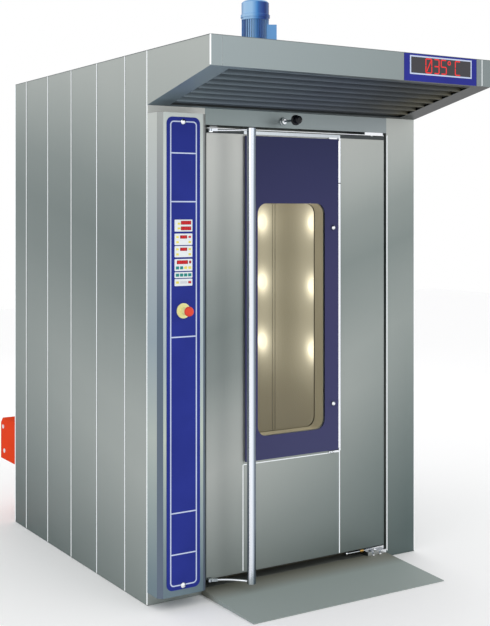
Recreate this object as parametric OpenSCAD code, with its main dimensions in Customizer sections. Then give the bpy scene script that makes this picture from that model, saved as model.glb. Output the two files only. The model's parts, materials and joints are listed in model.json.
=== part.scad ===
// Rotating rack oven: an insulated steel cabinet whose rack hangs on a turning hook.
// X is right, Y is back, Z is up, in millimetres. The origin is on the floor, under the
// axis that the rack turns about. Most pieces are placed from the casing's front left
// corner, which oven() moves to its place.

/* [Casing] */
// Width of the casing
body_w = 1500; // [1480:5:1600]
// Depth of the casing without the hood
body_d = 1580; // [1560:5:1800]
// Height of the casing
body_h = 2400; // [2380:5:2600]
// Thickness of the outer sheets
skin_t = 2; // [1.5:0.5:3]
// Depth of the folded edges of a cladding panel
tray_t = 14; // [10:1:18]
// Width of the narrow panel at the front of each side
front_strip_w = 216; // [150:1:260]
// Width of the narrow panel at the back of each side
rear_strip_w = 168; // [120:1:220]
// Number of wide panels on each side
side_panels = 4; // [3:1:5]
// Width of the joint between two panels
panel_gap = 1.5; // [1:0.5:3]

/* [Chamber] */
// Depth of the front wall, up to the chamber
front_wall_d = 180; // [170:1:200]
// Depth of the space for the heat exchanger behind the chamber
back_space = 246; // [240:1:280]
// Width of the air ducts beside the chamber
duct_w = 114; // [90:1:130]
// Thickness of the rock wool in the walls
wool_t = 100; // [60:5:110]
// Thickness of the inner sheets
liner_t = 2; // [1.5:0.5:3]
// Height of the chamber floor above the ground
floor_z = 25; // [22:1:32]
// Thickness of the chamber floor plate
floor_t = 6; // [4:1:8]
// Height of the space between the chamber ceiling and the roof
roof_space = 340; // [335:1:360]
// Height of the wall between the door opening and the chamber ceiling
lintel_h = 46; // [42:1:60]
// How far the door laps over the left edge of its opening
left_lap = 63; // [55:1:75]
// How far the door laps over the right edge of its opening
right_lap = 119; // [116:1:130]
// Length of a slot in the air walls
slot_w = 150; // [80:5:200]
// Height of a slot in the air walls
slot_h = 14; // [8:1:24]
// Rows of slots in an air wall
slot_rows = 12; // [6:1:16]

/* [Front] */
// Width of the left pillar
left_pillar_w = 288; // [284:1:290]
// Distance from the right side to the door's pivot
pivot_right = 240; // [238:1:260]
// Gap between the turning door and the right pillar
heel_gap = 1; // [1:0.5:4]
// Depth of the pillars
pillar_d = 108; // [106:1:116]
// Height of the header between the door and the hood
header_h = 73; // [70:1:75]
// Length of the ramp
ramp_l = 432; // [300:10:600]
// Height of the ramp where it meets the sill
ramp_h = 27; // [20:1:28]
// How far the ramp reaches past the door on the left
ramp_left = 24; // [0:1:40]
// How far the ramp reaches past the door on the right
ramp_right = 4; // [0:1:14]
// Thickness of the ramp plate
ramp_t = 3; // [2:0.5:5]

/* [Hood] */
// How far the hood stands out
hood_l = 540; // [400:10:640]
// Height of the hood where it meets the casing
hood_h = 237; // [225:1:240]
// Height of the hood's front
fascia_h = 123; // [110:1:135]
// Number of baffles in the grease filter
baffles = 8; // [5:1:10]
// Width of the blue display plate
display_w = 427; // [380:1:440]
// Distance from the right side to the display plate
display_right = 92; // [80:1:120]
// Width of the display window's frame
window_frame_w = 364; // [300:1:370]
// Height of the display window's frame
window_frame_h = 83; // [60:1:84]

/* [Control column] */
// Width of the control column
column_w = 240; // [230:1:250]
// How far the column stands out from the pillar
column_d = 110; // [90:1:114]
// Height of the column's lower end above the ground
column_z = 57; // [20:1:80]
// Gap between the column and the hood
column_gap = 37; // [10:1:60]
// Width of the flat on the column's left corner
column_chamfer = 20; // [8:1:30]
// Radius of the column's right corner
column_r = 30; // [10:1:40]
// Width of the blue label plate
label_w = 163; // [150:1:170]
// Distance from the left side to the label plate
label_x = 36; // [30:1:42]
// Corner radius of the label plate
label_r = 28; // [10:1:40]
// Thickness of the label plate
label_t = 2; // [1:0.5:3]
// Distance of the label plate from the column's ends
label_inset = 27; // [20:1:40]
// Width of a control module
module_w = 86; // [70:1:100]
// Thickness of a control module
module_t = 3; // [2:0.5:6]
// Height of the emergency stop above the ground
stop_z = 1277; // [1230:1:1320]
// Diameter of the stop button's cap
stop_cap_d = 42; // [36:1:50]
// Diameter of the yellow stop disc
stop_disc_d = 65; // [60:1:80]
// Travel of the stop button
stop_travel = 5; // [3:0.5:6]

/* [Door] */
// Gap between the door and the left pillar
door_gap = 7; // [5:1:10]
// Height of the door's lower edge above the ground
door_z = 62; // [60:1:70]
// Gap between the door and the header
top_gap = 19; // [18:1:25]
// Thickness of the door
door_t = 80; // [70:1:82]
// Distance from the door's right edge to its pivot
pivot_inset = 46; // [40:1:48]
// Radius of the pivot pins
pivot_r = 8; // [6:0.5:10]
// Gap that the door's seal closes
seal_t = 12; // [9:1:12]
// Width of the seal strip
seal_w = 18; // [12:1:20]
// Distance from the door's right edge to the blue glass panel
glass_right = 289; // [270:1:300]
// Distance from the door's top to the glass panel
glass_drop = 23; // [20:1:60]
// Height of the glass panel's lower edge above the ground
glass_z = 565; // [560:1:580]
// Thickness of the glass panels
glass_t = 6; // [4:0.5:8]
// Distance from the door's left edge to the glass panel
glass_inset = 198; // [194:1:204]
// Space between the blue glass and the door
glass_stand = 8; // [7:0.5:9]
// Width of the glass panel left of the window
window_left = 66; // [60:1:100]
// Width of the glass panel right of the window
window_right = 78; // [60:1:100]
// Height of the glass panel over the window
window_over = 308; // [280:1:400]
// Height of the window's lower edge above the ground
window_z = 673; // [660:1:700]
// Corner radius of the window
window_r = 47; // [20:1:60]
// Radius of the glass panel's hinge tube
hinge_tube_r = 8.5; // [7.5:0.5:8.5]
// Radius of the rod in the hinge tube
hinge_rod_r = 4; // [3:0.5:5]
// Height of the polished trim along the door's top
top_trim_h = 16; // [10:1:20]

/* [Door handle] */
// Radius of the handle tube
handle_r = 20; // [12:0.5:22]
// Radius of the handle's bent arms
handle_arm_r = 5; // [4:0.5:6]
// Radius of the bend in the arms
handle_bend_r = 268; // [240:1:280]
// Distance from the door's left edge to the handle's pivot
handle_pivot_x = 11; // [11:1:20]
// Distance from the door's face to the handle's pivot
handle_pivot_y = 14; // [13:1:18]
// Radius of the handle's pivot pins
handle_pin_r = 4; // [3:0.5:5]

/* [Rack drive] */
// Radius of the rack's spindle
spindle_r = 20; // [15:1:25]
// Clearance all round a turning shaft
run_gap = 0.05; // [0.03:0.01:0.08]
// Teeth on the large sprocket
big_teeth = 38; // [30:1:42]
// Teeth on the small sprocket
small_teeth = 15; // [13:1:18]
// Pitch of the chain
chain_pitch = 19.05; // [15.875:3.175:19.05]
// Distance from the rack's axis to the motor's axis, to the right
motor_dx = 124; // [120:1:140]
// Distance from the rack's axis to the motor's axis, to the front
motor_dy = 200; // [190:1:220]
// Height of the gearbox
gearbox_h = 96; // [80:1:110]
// Radius of the motor's body
motor_r = 69.5; // [60:0.5:75]
// Height of the motor's finned body
motor_h = 134; // [110:1:150]
// Height of the motor's fan cowl
cowl_h = 84; // [60:1:90]
// Number of fins round the motor
motor_fins = 36; // [24:1:48]

/* [Heating and air] */
// Distance from the left side to the burner's axis
burner_x = 195; // [175:1:215]
// Height of the burner's axis above the ground
burner_z = 398; // [370:1:430]
// Length of the burner's red cover
burner_l = 330; // [280:5:360]
// Width of the burner's red cover
burner_w = 290; // [240:5:300]
// Height of the burner's red cover
burner_h = 235; // [200:5:240]
// Diameter of the combustion chamber
fire_d = 220; // [180:5:225]
// Diameter of the heat exchanger's tubes
tube_d = 60; // [40:2:70]
// Rows of heat exchanger tubes
tube_rows = 8; // [4:1:8]
// Diameter of the circulation fan
fan_d = 360; // [300:5:370]
// Width of the circulation fan
fan_w = 110; // [80:5:130]
// Number of fan blades
fan_blades = 12; // [6:1:16]
// Distance from the chamber ceiling to the fan's axis
fan_drop = 240; // [220:5:260]
// Outer diameter of the flue spigot
flue_d = 150; // [120:5:160]
// Outer diameter of the vapour spigot
vapour_d = 100; // [80:5:110]
// How far the spigots stand above the roof
spigot_h = 80; // [60:5:85]
// Diameter of the cable inlet in the back
cable_hole_d = 32; // [25:1:50]
// Travel of the vapour damper
damper_travel = 80; // [50:5:80]
// Radius of the damper's pull rod
damper_rod_r = 5; // [4:0.5:6]
// Radius of the damper's knob
damper_knob_r = 24; // [18:1:26]

/* [Hidden] */
eps = 0.01;
play = 0.3;
screw_r = 6;

casing_top = body_h;
ceiling_z = body_h - roof_space;
opening_z = ceiling_z - lintel_h;
hood_back_z = body_h - hood_h;
hood_front_z = body_h - fascia_h;
header_z = hood_back_z - header_h;
shell_x = tray_t;
shell_w = body_w - 2*tray_t;
shell_back = body_d - tray_t;
front_y = pillar_d;
wool_front_y = front_y + liner_t;
wool_back_y = shell_back - wool_t;
liner_x = shell_x + wool_t;
liner_w = body_w - 2*liner_x;
chamber_y = front_wall_d;
chamber_back_y = wool_back_y - back_space;
chamber_x = liner_x + liner_t + duct_w;
chamber_w = body_w - 2*chamber_x;
rack_setback = (chamber_y + chamber_back_y)/2;
roof_wool_z = ceiling_z + liner_t;
deck_z = casing_top - tray_t;
base_h = floor_z - floor_t;
sheet_z = floor_z - floor_t;
mid_x = body_w/2;

door_x = left_pillar_w + door_gap;
door_top = header_z - top_gap;
door_h = door_top - door_z;
pivot_x = body_w - pivot_right;
door_right = pivot_x + pivot_inset;
door_w = door_right - door_x;
opening_x = door_x + left_lap;
opening_w = door_right - right_lap - opening_x;
ramp_x = door_x - ramp_left;
ramp_w = door_right + ramp_right - ramp_x;
pivot_y = door_t/2;
heel_r = sqrt(pivot_inset*pivot_inset + pivot_y*pivot_y);
right_pillar_x = pivot_x + heel_r + heel_gap;
rim_y = door_t + seal_t + 0.5;
glass_x = door_x + glass_inset;
glass_w = door_right - glass_right - glass_x;
glass_front = -(glass_stand + glass_t);
glass_top = door_top - glass_drop;
glass_h = glass_top - glass_z;
window_w = glass_w - window_left - window_right;
window_h = glass_top - window_over - window_z;
window_mid_x = glass_x + window_left + window_w/2;
hinge_x = glass_x + glass_w + hinge_tube_r;
hinge_y = -hinge_tube_r - 0.5;
knob_left = 29;
knob_right = 33;
knob_low = 223;
knob_drop = 422;
bracket_w = 112;
bracket_d = 68;
handle_px = door_x + handle_pivot_x;
handle_py = -handle_pivot_y;
arm_start = 72;
arm_end = 31.5;
arm_centre_x = handle_px - handle_bend_r*cos(arm_start);
arm_centre_y = handle_py - handle_bend_r*sin(arm_start);
handle_x = arm_centre_x + handle_bend_r*cos(arm_end);
handle_y = arm_centre_y + handle_bend_r*sin(arm_end);
arm_top_z = door_top - 5;
arm_low_z = door_z - 1;
hub_r = 9;
hub_h = 2*handle_arm_r + 1;
ear_t = 4;
trim_out = 1;
column_h = hood_back_z - column_gap - column_z;
column_front = -column_d;
label_front = column_front - label_t;
stop_neck_l = 36;
stop_shaft_r = 11;
label_z = column_z + label_inset;
label_h = column_h - 2*label_inset + 9;
stop_x = label_x + label_w/2 - 1.5;

sprocket_t = 10;
sprocket_z = casing_top + 22;
big_pitch_r = chain_pitch/2/sin(180/big_teeth);
small_pitch_r = chain_pitch/2/sin(180/small_teeth);
roller_r = chain_pitch*0.31;
motor_angle = atan2(-motor_dy, motor_dx);
drive_c = sqrt(motor_dx*motor_dx + motor_dy*motor_dy);
gearbox_z = sprocket_z + sprocket_t + 12;
gearbox_top = gearbox_z + gearbox_h;
flange_t = 14;
motor_z = gearbox_top + flange_t;
cowl_z = motor_z + motor_h;

roof_gaps = [vapour_d/2 + 16, spindle_r + 18, flue_d/2 + 6];
ceiling_gaps = [vapour_d*0.35, spindle_r + 5, flue_d/2 + 6];
bearing_wall = 16;
bearing_flange = 45;
bearing_t = 12;
foot_w = 150;
terminal_l = 46;
terminal_w = 76;
terminal_h = 78;
hook_l = 340;
hook_w = 50;
hook_t = 12;
claw_t = 10;
claw_h = 70;

spigot_z = casing_top + spigot_h;
flue_x = body_w - 215;
flue_y = (chamber_back_y + wool_back_y)/2 + liner_t;
exchanger_y = flue_y;
vapour_x = mid_x - 40;
vapour_y = 300;
damper_z = hood_back_z - 42;
gate_t = 4;
gate_w = vapour_d + 6;
spigot_wall = 2;
knob_y = -107;
inlet_x = body_w - 150;
inlet_z = casing_top - 900;
display_x = body_w - display_right - display_w;
fan_z = ceiling_z - fan_drop;
hook_z = ceiling_z - 120;
lamp_y = 549;
lamp_dy = 498;
lamp_z = 968;
lamp_dz = 338;
filter_x = 100;
filter_w = body_w - 210;
filter_back_y = -20;
filter_l = hood_l - 40;

module oven() {
    translate([-body_w/2, -rack_setback, 0])
        children();
}

// A rectangle with round corners, its lower left corner at the origin.
module round_rect(w, h, r) {
    translate([r, 0]) square([w - 2*r, h]);
    translate([0, r]) square([w, h - 2*r]);
    for (x = [r, w - r], y = [r, h - r])
        translate([x, y]) circle(r = r, $fn = 48);
}

// A round-cornered plate standing in the X-Z plane, its front face at y.
module front_plate(x, y, z, w, h, t, r) {
    translate([x, y + t, z])
        rotate([90, 0, 0])
            linear_extrude(t)
                round_rect(w, h, r);
}

// A round bar along Y that starts at y and runs to the back.
module y_bar(x, y, z, r, l) {
    translate([x, y, z])
        rotate([-90, 0, 0])
            cylinder(r = r, h = l, $fn = 64);
}

// A round bar along X.
module x_bar(x, y, z, r, l) {
    translate([x, y, z])
        rotate([0, 90, 0])
            cylinder(r = r, h = l, $fn = 64);
}

// A sheet tray: a face w by h with its edges folded back by depth.
module tray(w, h, depth, t) {
    difference() {
        cube([w, depth, h]);
        translate([t, t, t])
            cube([w - 2*t, depth, h - 2*t]);
    }
}

// ---- Casing ----

module base_frame() {
    bar = 60;
    bays_x = [shell_x + bar, shell_x + shell_w*0.37, mid_x + bar/2, shell_x + shell_w*0.76];
    bay_w = shell_w*0.24 - 1.5*bar;
    bay_l = (shell_back - wool_front_y)/2 - 1.5*bar;
    color("dimgray") oven() difference() {
        union() {
            translate([shell_x, wool_front_y, 0])
                cube([shell_w, shell_back - wool_front_y, base_h]);
            translate([left_pillar_w + play, 0, 0])
                cube([right_pillar_x - left_pillar_w - 2*play, wool_front_y, base_h]);
        }
        for (x = bays_x, y = [wool_front_y + bar, rack_setback + bar*2])
            translate([x, y, skin_t])
                cube([bay_w, bay_l - bar, base_h]);
    }
}

module chamber_floor() {
    color("silver") oven() {
        translate([liner_x, wool_front_y, sheet_z])
            cube([liner_w, wool_back_y - wool_front_y, floor_t]);
        translate([left_pillar_w + play, 0, sheet_z])
            cube([right_pillar_x - left_pillar_w - 2*play, wool_front_y, floor_t]);
    }
}

// The side slabs run from front to back. The rear slab fits between them and has round
// holes for the blast tube and the fan shaft. Four blocks surround the door opening.
module wall_insulation() {
    side_l = shell_back - wool_front_y;
    block_l = chamber_y - liner_t - wool_front_y;
    right_x = opening_x + opening_w;
    color("khaki") oven() {
        for (x = [shell_x, body_w - liner_x])
            translate([x, wool_front_y, sheet_z])
                cube([wool_t, side_l, ceiling_z + liner_t - sheet_z]);
        difference() {
            translate([liner_x + play, wool_back_y + liner_t, sheet_z])
                cube([liner_w - 2*play, wool_t - liner_t, ceiling_z + liner_t - sheet_z]);
            y_bar(burner_x, wool_back_y, burner_z, fire_d*0.3, wool_t*2);
            y_bar(mid_x, wool_back_y, fan_z, spindle_r + 15, wool_t*2);
        }
        translate([liner_x + play, wool_front_y, floor_z])
            cube([opening_x - liner_t - liner_x - play, block_l, ceiling_z - floor_z]);
        translate([right_x + liner_t, wool_front_y, floor_z])
            cube([body_w - liner_x - right_x - liner_t - play, block_l, ceiling_z - floor_z]);
        translate([opening_x - liner_t + play, wool_front_y, opening_z + liner_t])
            cube([opening_w + 2*liner_t - 2*play, block_l, ceiling_z - opening_z - liner_t]);
    }
}

// The rows that the roof's wool, ceiling and panels are cut into, from the front to the
// back, as [front, back, parts] with each part as [left, right]. A row with two parts goes
// round the vapour pipe, the spindle or the flue, half_w to each side of it. The gap for
// the vapour pipe begins at slot_y.
function roof_rows(front, slot_y, back, left, right, half_w) = [
    [front, slot_y, [[left, right]]],
    [slot_y, vapour_y + half_w[0],
     [[left, vapour_x - half_w[0]], [vapour_x + half_w[0], right]]],
    [vapour_y + half_w[0], rack_setback - half_w[1], [[left, right]]],
    [rack_setback - half_w[1], rack_setback + half_w[1],
     [[left, mid_x - half_w[1]], [mid_x + half_w[1], right]]],
    [rack_setback + half_w[1], flue_y - half_w[2], [[left, right]]],
    [flue_y - half_w[2], flue_y + half_w[2],
     [[left, flue_x - half_w[2]], [flue_x + half_w[2], right]]],
    [flue_y + half_w[2], back, [[left, right]]]];

// The wool is in blocks. It leaves the damper and its rod free from the front on, so the
// row before the vapour pipe has no depth and no block.
module roof_insulation() {
    rows = roof_rows(wool_front_y, wool_front_y, shell_back, shell_x, shell_x + shell_w,
                     roof_gaps);
    color("khaki") oven()
        for (row = rows, part = row[2])
            if (row[1] > row[0])
                translate([part[0] + play/2, row[0] + play/2, roof_wool_z])
                    cube([part[1] - part[0] - play, row[1] - row[0] - play,
                          deck_z - roof_wool_z]);
}

module chamber_side_walls() {
    wall_l = wool_back_y - chamber_y;
    color("lightsteelblue") oven()
        for (x = [liner_x, body_w - liner_x - liner_t])
            translate([x, chamber_y, floor_z])
                cube([liner_t, wall_l, ceiling_z - floor_z]);
}

module chamber_back_wall() {
    color("lightsteelblue") oven() difference() {
        translate([liner_x, wool_back_y, sheet_z])
            cube([liner_w, liner_t, ceiling_z + liner_t - sheet_z]);
        y_bar(burner_x, wool_back_y - 1, burner_z, fire_d*0.3, liner_t + 2);
        y_bar(mid_x, wool_back_y - 1, fan_z, spindle_r + 15, liner_t + 2);
    }
}

// The ceiling is of sheets, and the spindle's bearing and the vapour pipe stand on it.
module chamber_ceiling() {
    rows = roof_rows(wool_front_y, vapour_y - ceiling_gaps[0], wool_back_y, liner_x,
                     liner_x + liner_w, ceiling_gaps);
    color("lightsteelblue") oven()
        for (row = rows, part = row[2])
            translate([part[0] + play/2, row[0] + play/2, ceiling_z])
                cube([part[1] - part[0] - play, row[1] - row[0] - play, liner_t]);
}

// The front wall: an outer plate, a reveal through the wall with a rim that the door's
// seal meets, and an inner plate. The right side stays low, for the door's heel.
module front_frame() {
    x = opening_x - liner_t;
    w = opening_w + 2*liner_t;
    color("silver") oven() difference() {
        union() {
            translate([shell_x, front_y, floor_z])
                cube([shell_w, liner_t, deck_z - floor_z]);
            translate([x, rim_y, floor_z])
                cube([w, chamber_y - rim_y, opening_z + liner_t - floor_z]);
            translate([x - seal_w, rim_y, floor_z])
                cube([w + 2*seal_w, skin_t, opening_z + 2*seal_w - floor_z]);
            translate([liner_x, chamber_y - liner_t, floor_z])
                cube([liner_w, liner_t, ceiling_z - floor_z]);
        }
        translate([opening_x, 0, 0])
            cube([opening_w, chamber_y + 1, opening_z]);
        y_bar(vapour_x, front_y - 1, damper_z, damper_rod_r + 1, liner_t + 2);
    }
}

// A wall between the chamber and an air duct, with slots in the rows named, drawn for the
// left side.
module air_wall(rows) {
    length = chamber_back_y - chamber_y;
    height = ceiling_z - floor_z;
    row = height/(slot_rows + 1);
    column = length/4;
    difference() {
        union() {
            translate([chamber_x - liner_t, chamber_y, floor_z])
                cube([liner_t, length, height]);
            translate([liner_x + liner_t, chamber_y, floor_z])
                cube([chamber_x - liner_x - liner_t, liner_t, height]);
        }
        for (i = rows, j = [1:3])
            translate([chamber_x - liner_t - 1, chamber_y + j*column - slot_w/2, floor_z + i*row])
                cube([liner_t + 2, slot_w, slot_h]);
    }
}

module supply_panel() {
    color("tan") oven()
        air_wall([1:slot_rows]);
}

module return_panel() {
    color("tan") oven()
        translate([body_w, 0, 0])
            mirror([1, 0, 0])
                air_wall([1, 2, slot_rows - 1, slot_rows]);
}

module exchanger_screen() {
    color("tan") oven() difference() {
        translate([chamber_x - liner_t, chamber_back_y, floor_z])
            cube([chamber_w + 2*liner_t, liner_t, ceiling_z - floor_z]);
        y_bar(mid_x, chamber_back_y - 1, fan_z, fan_d*0.4, liner_t + 2);
    }
}

// The panels of one side, from front to back, drawn for the left side. Each is a tray
// with its edges folded in.
module side_trays() {
    first_y = skin_t;
    middle_w = (body_d - front_strip_w - rear_strip_w)/side_panels;
    edges = concat([first_y], [for (i = [0:side_panels]) front_strip_w + i*middle_w],
                   [shell_back]);
    for (i = [0:len(edges) - 2])
        translate([0, edges[i + 1] - panel_gap/2, 0])
            rotate([0, 0, -90])
                tray(edges[i + 1] - edges[i] - panel_gap, casing_top, tray_t, skin_t);
}

module left_cladding() {
    color("silver") oven()
        side_trays();
}

module right_cladding() {
    color("silver") oven()
        translate([body_w, 0, 0])
            mirror([1, 0, 0])
                side_trays();
}

module back_cladding() {
    panels = 5;
    w = body_w/panels;
    color("silver") oven() difference() {
        for (i = [0:panels - 1])
            translate([(i + 1)*w - panel_gap/2, body_d, 0])
                rotate([0, 0, 180])
                    tray(w - panel_gap, casing_top, tray_t, skin_t);
        y_bar(burner_x, shell_back - 1, burner_z, fire_d*0.3, tray_t + 2);
        y_bar(mid_x, shell_back - 1, fan_z, spindle_r + 15, tray_t + 2);
        y_bar(inlet_x, shell_back - 1, inlet_z, cable_hole_d/2, tray_t + 2);
    }
    color("silver") oven() difference() {
        y_bar(inlet_x, body_d, inlet_z, cable_hole_d/2 + 8, 12);
        y_bar(inlet_x, body_d - 1, inlet_z, cable_hole_d/2, 14);
    }
}

// The roof panels are trays with their edges folded down.
module roof_panels() {
    rows = roof_rows(wool_front_y, vapour_y - roof_gaps[0], shell_back, shell_x,
                     shell_x + shell_w, roof_gaps);
    color("silver") oven()
        for (row = rows, part = row[2])
            translate([part[0] + panel_gap/2, row[0] + panel_gap/2, casing_top])
                rotate([-90, 0, 0])
                    tray(part[1] - part[0] - panel_gap, row[1] - row[0] - panel_gap,
                         tray_t, skin_t);
}

// ---- Front ----

// A hollow post that is open at the back.
module post(w, top) {
    difference() {
        cube([w, pillar_d, top]);
        translate([skin_t, skin_t, skin_t])
            cube([w - 2*skin_t, pillar_d, top - 2*skin_t]);
    }
}

module left_pillar() {
    color("silver") oven() difference() {
        post(left_pillar_w, hood_back_z);
        translate([-eps, skin_t, -1])
            cube([shell_x + eps, pillar_d, hood_back_z + 2]);
    }
}

module right_pillar() {
    color("silver") oven() difference() {
        translate([right_pillar_x, 0, 0])
            post(body_w - right_pillar_x, hood_back_z);
        translate([body_w - shell_x, skin_t, -1])
            cube([shell_x + eps, pillar_d, hood_back_z + 2]);
    }
}

module header_panel() {
    color("silver") oven() difference() {
        translate([left_pillar_w, 0, header_z])
            cube([right_pillar_x - left_pillar_w, pillar_d, hood_back_z - header_z]);
        translate([left_pillar_w + skin_t, skin_t, header_z + skin_t])
            cube([right_pillar_x - left_pillar_w - 2*skin_t, pillar_d,
                  hood_back_z - header_z - 2*skin_t]);
        y_bar(vapour_x, -1, damper_z, damper_rod_r + play, skin_t + 2);
    }
    color("gainsboro") oven() difference() {
        y_bar(vapour_x, -12, damper_z, 18, 12);
        y_bar(vapour_x, -13, damper_z, damper_rod_r + play, 14);
    }
}

// The ramp: a sloping plate with a wedge at each side under its rear half.
module ramp() {
    slope = [[0, 0], [0, ramp_h], [-ramp_l, ramp_t], [-ramp_l, 0]];
    inner = [[1, -1], [1, ramp_h - ramp_t], [-ramp_l + 3*ramp_t, -1]];
    color("darkseagreen") oven()
        translate([ramp_x, -play, 0])
            rotate([90, 0, 90])
                difference() {
                    linear_extrude(ramp_w)
                        polygon(slope);
                    translate([0, 0, ramp_t])
                        linear_extrude(ramp_w - 2*ramp_t)
                            polygon(inner);
                }
}

// The hood: a box with a slanting underside that is open for the filter.
module hood_shell() {
    outer = [[0, hood_back_z], [-hood_l, hood_front_z], [-hood_l, casing_top],
             [front_y, casing_top], [front_y, hood_back_z]];
    inner = [[-skin_t, hood_back_z + 3], [skin_t - hood_l, hood_front_z + 3],
             [skin_t - hood_l, casing_top - skin_t], [-skin_t, casing_top - skin_t]];
    void = [[skin_t, hood_back_z + 3], [skin_t, casing_top - skin_t],
            [front_y + 1, casing_top - skin_t], [front_y + 1, hood_back_z + 3]];
    color("silver") oven() difference() {
        rotate([90, 0, 90])
            linear_extrude(body_w)
                polygon(outer);
        translate([skin_t, 0, 0])
            rotate([90, 0, 90])
                linear_extrude(body_w - 2*skin_t) {
                    polygon(inner);
                    polygon(void);
                }
        translate([filter_x, filter_back_y - filter_l, hood_back_z - 5])
            cube([filter_w, filter_l, hood_front_z - hood_back_z + 5]);
        for (x = [-1, body_w - shell_x])
            translate([x, skin_t, hood_back_z - 1])
                cube([shell_x + 1, front_y, casing_top - hood_back_z + 2]);
    }
}

module hood_fascia() {
    end_w = 54;
    color("gainsboro") oven() {
        for (x = [0, body_w - end_w])
            translate([x, -hood_l - skin_t, hood_front_z])
                cube([end_w - panel_gap, skin_t, casing_top - hood_front_z]);
        translate([end_w, -hood_l - skin_t, hood_front_z])
            cube([display_x - end_w - panel_gap, skin_t, casing_top - hood_front_z]);
        translate([display_x + display_w + panel_gap, -hood_l - skin_t, hood_front_z])
            cube([body_w - end_w - display_x - display_w - 2*panel_gap, skin_t,
                  casing_top - hood_front_z]);
    }
}

// The grease filter: a slanting frame with a row of folded baffles.
module baffle_filters() {
    pitch = filter_l/baffles;
    rise = (hood_front_z - hood_back_z)/hood_l;
    color("slategray") oven()
        for (i = [0:baffles - 1]) {
            y = filter_back_y - (i + 1)*pitch;
            z = hood_back_z - rise*(y + pitch/2) + 4;
            translate([filter_x + play, y + 1, z])
                difference() {
                    cube([filter_w - 2*play, pitch - 2, 22]);
                    translate([skin_t, 4, -1])
                        cube([filter_w - 2*play - 2*skin_t, pitch - 10, 21]);
                }
        }
}

module display_plate() {
    color("mediumblue") oven()
        translate([display_x, -hood_l - skin_t, hood_front_z])
            cube([display_w, skin_t, casing_top - hood_front_z]);
}

// The display: a light frame round a dark window.
module display_window() {
    x = display_x + (display_w - window_frame_w)/2;
    z = casing_top - 10 - window_frame_h;
    rim = 6;
    color("whitesmoke") oven() difference() {
        translate([x, -hood_l - 2*skin_t, z])
            cube([window_frame_w, skin_t, window_frame_h]);
        translate([x + rim, -hood_l - 3*skin_t, z + rim])
            cube([window_frame_w - 2*rim, 3*skin_t - 0.5, window_frame_h - 2*rim]);
    }
}

// ---- Control column ----

// The column's outline in plan, inset by t, with a flat on its left front corner and a
// round right front corner.
function column_outline(t) = concat(
    [[t, 1], [t, -(column_d - column_chamfer) - t*0.4], [column_chamfer + t*0.4, t - column_d]],
    [for (a = [-90:11.25:0])
        [column_w - column_r + (column_r - t)*cos(a),
         column_r - column_d + (column_r - t)*sin(a)]],
    [[column_w - t, 1]]);

module control_column() {
    color("beige") oven() difference() {
        translate([0, 0, column_z])
            linear_extrude(column_h)
                intersection() {
                    polygon(column_outline(0));
                    translate([0, -column_d]) square([column_w, column_d]);
                }
        translate([0, 0, column_z + skin_t])
            linear_extrude(column_h - 2*skin_t)
                polygon(column_outline(skin_t));
        y_bar(stop_x, column_front - 1, stop_z, 12, skin_t + 2);
    }
}

module control_label() {
    color("darkblue") oven() difference() {
        front_plate(label_x, label_front, label_z, label_w, label_h, label_t, label_r);
        y_bar(stop_x, label_front - 1, stop_z, 12, label_t + 2);
    }
}

// The keypads and read-outs, from the top down, as [height of lower edge, height].
module control_modules() {
    rows = [[340, 51], [282, 49], [230, 48], [171, 51], [141, 25], [107, 30]];
    color("white") oven()
        for (row = rows)
            front_plate(stop_x - module_w/2, label_front - module_t, stop_z + row[0],
                        module_w, row[1], module_t, 3);
}

module stop_collar() {
    neck_r = 15;
    bore_r = stop_shaft_r + run_gap;
    color("gold") oven() difference() {
        union() {
            y_bar(stop_x, label_front - 4, stop_z, stop_disc_d/2, 4);
            y_bar(stop_x, label_front - stop_neck_l, stop_z, neck_r, stop_neck_l - 4);
        }
        y_bar(stop_x, label_front - stop_neck_l - 1, stop_z, bore_r, stop_neck_l + 4);
    }
}

module stop_button() {
    cap_r = stop_cap_d/2;
    cap_back = label_front - stop_neck_l - 1 - stop_travel;
    color("red") oven() {
        y_bar(stop_x, cap_back - 4, stop_z, stop_shaft_r, stop_travel + stop_neck_l + 15);
        translate([stop_x, cap_back, stop_z])
            rotate([90, 0, 0])
                rotate_extrude($fn = 64)
                    polygon([[0, 0], [cap_r*0.8, 0], [cap_r, 5], [cap_r, 12],
                             [cap_r*0.85, 18], [cap_r*0.5, 22], [0, 23]]);
    }
}

module column_screws() {
    color("silver") oven()
        for (z = [label_z + 16, label_z + label_h - 20])
            translate([stop_x, label_front, z])
                rotate([90, 0, 0])
                    rotate_extrude($fn = 48)
                        polygon([[0, 0], [12, 0], [12, 2], [9, 5], [4, 7], [0, 7.5]]);
}

// ---- Door ----

// The window's outline through the door, from y and t deep, grown by g all round.
module window_hole(y, t, g) {
    front_plate(window_mid_x - window_w/2 - g, y, window_z - g,
                window_w + 2*g, window_h + 2*g, t, window_r + g);
}

// The door's pan: a front sheet with its edges folded back.
module door_shell() {
    color("silver") oven() difference() {
        translate([door_x, skin_t, door_z])
            tray(door_w, door_h, door_t - 2*skin_t, skin_t);
        window_hole(0, door_t, 0);
    }
}

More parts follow.
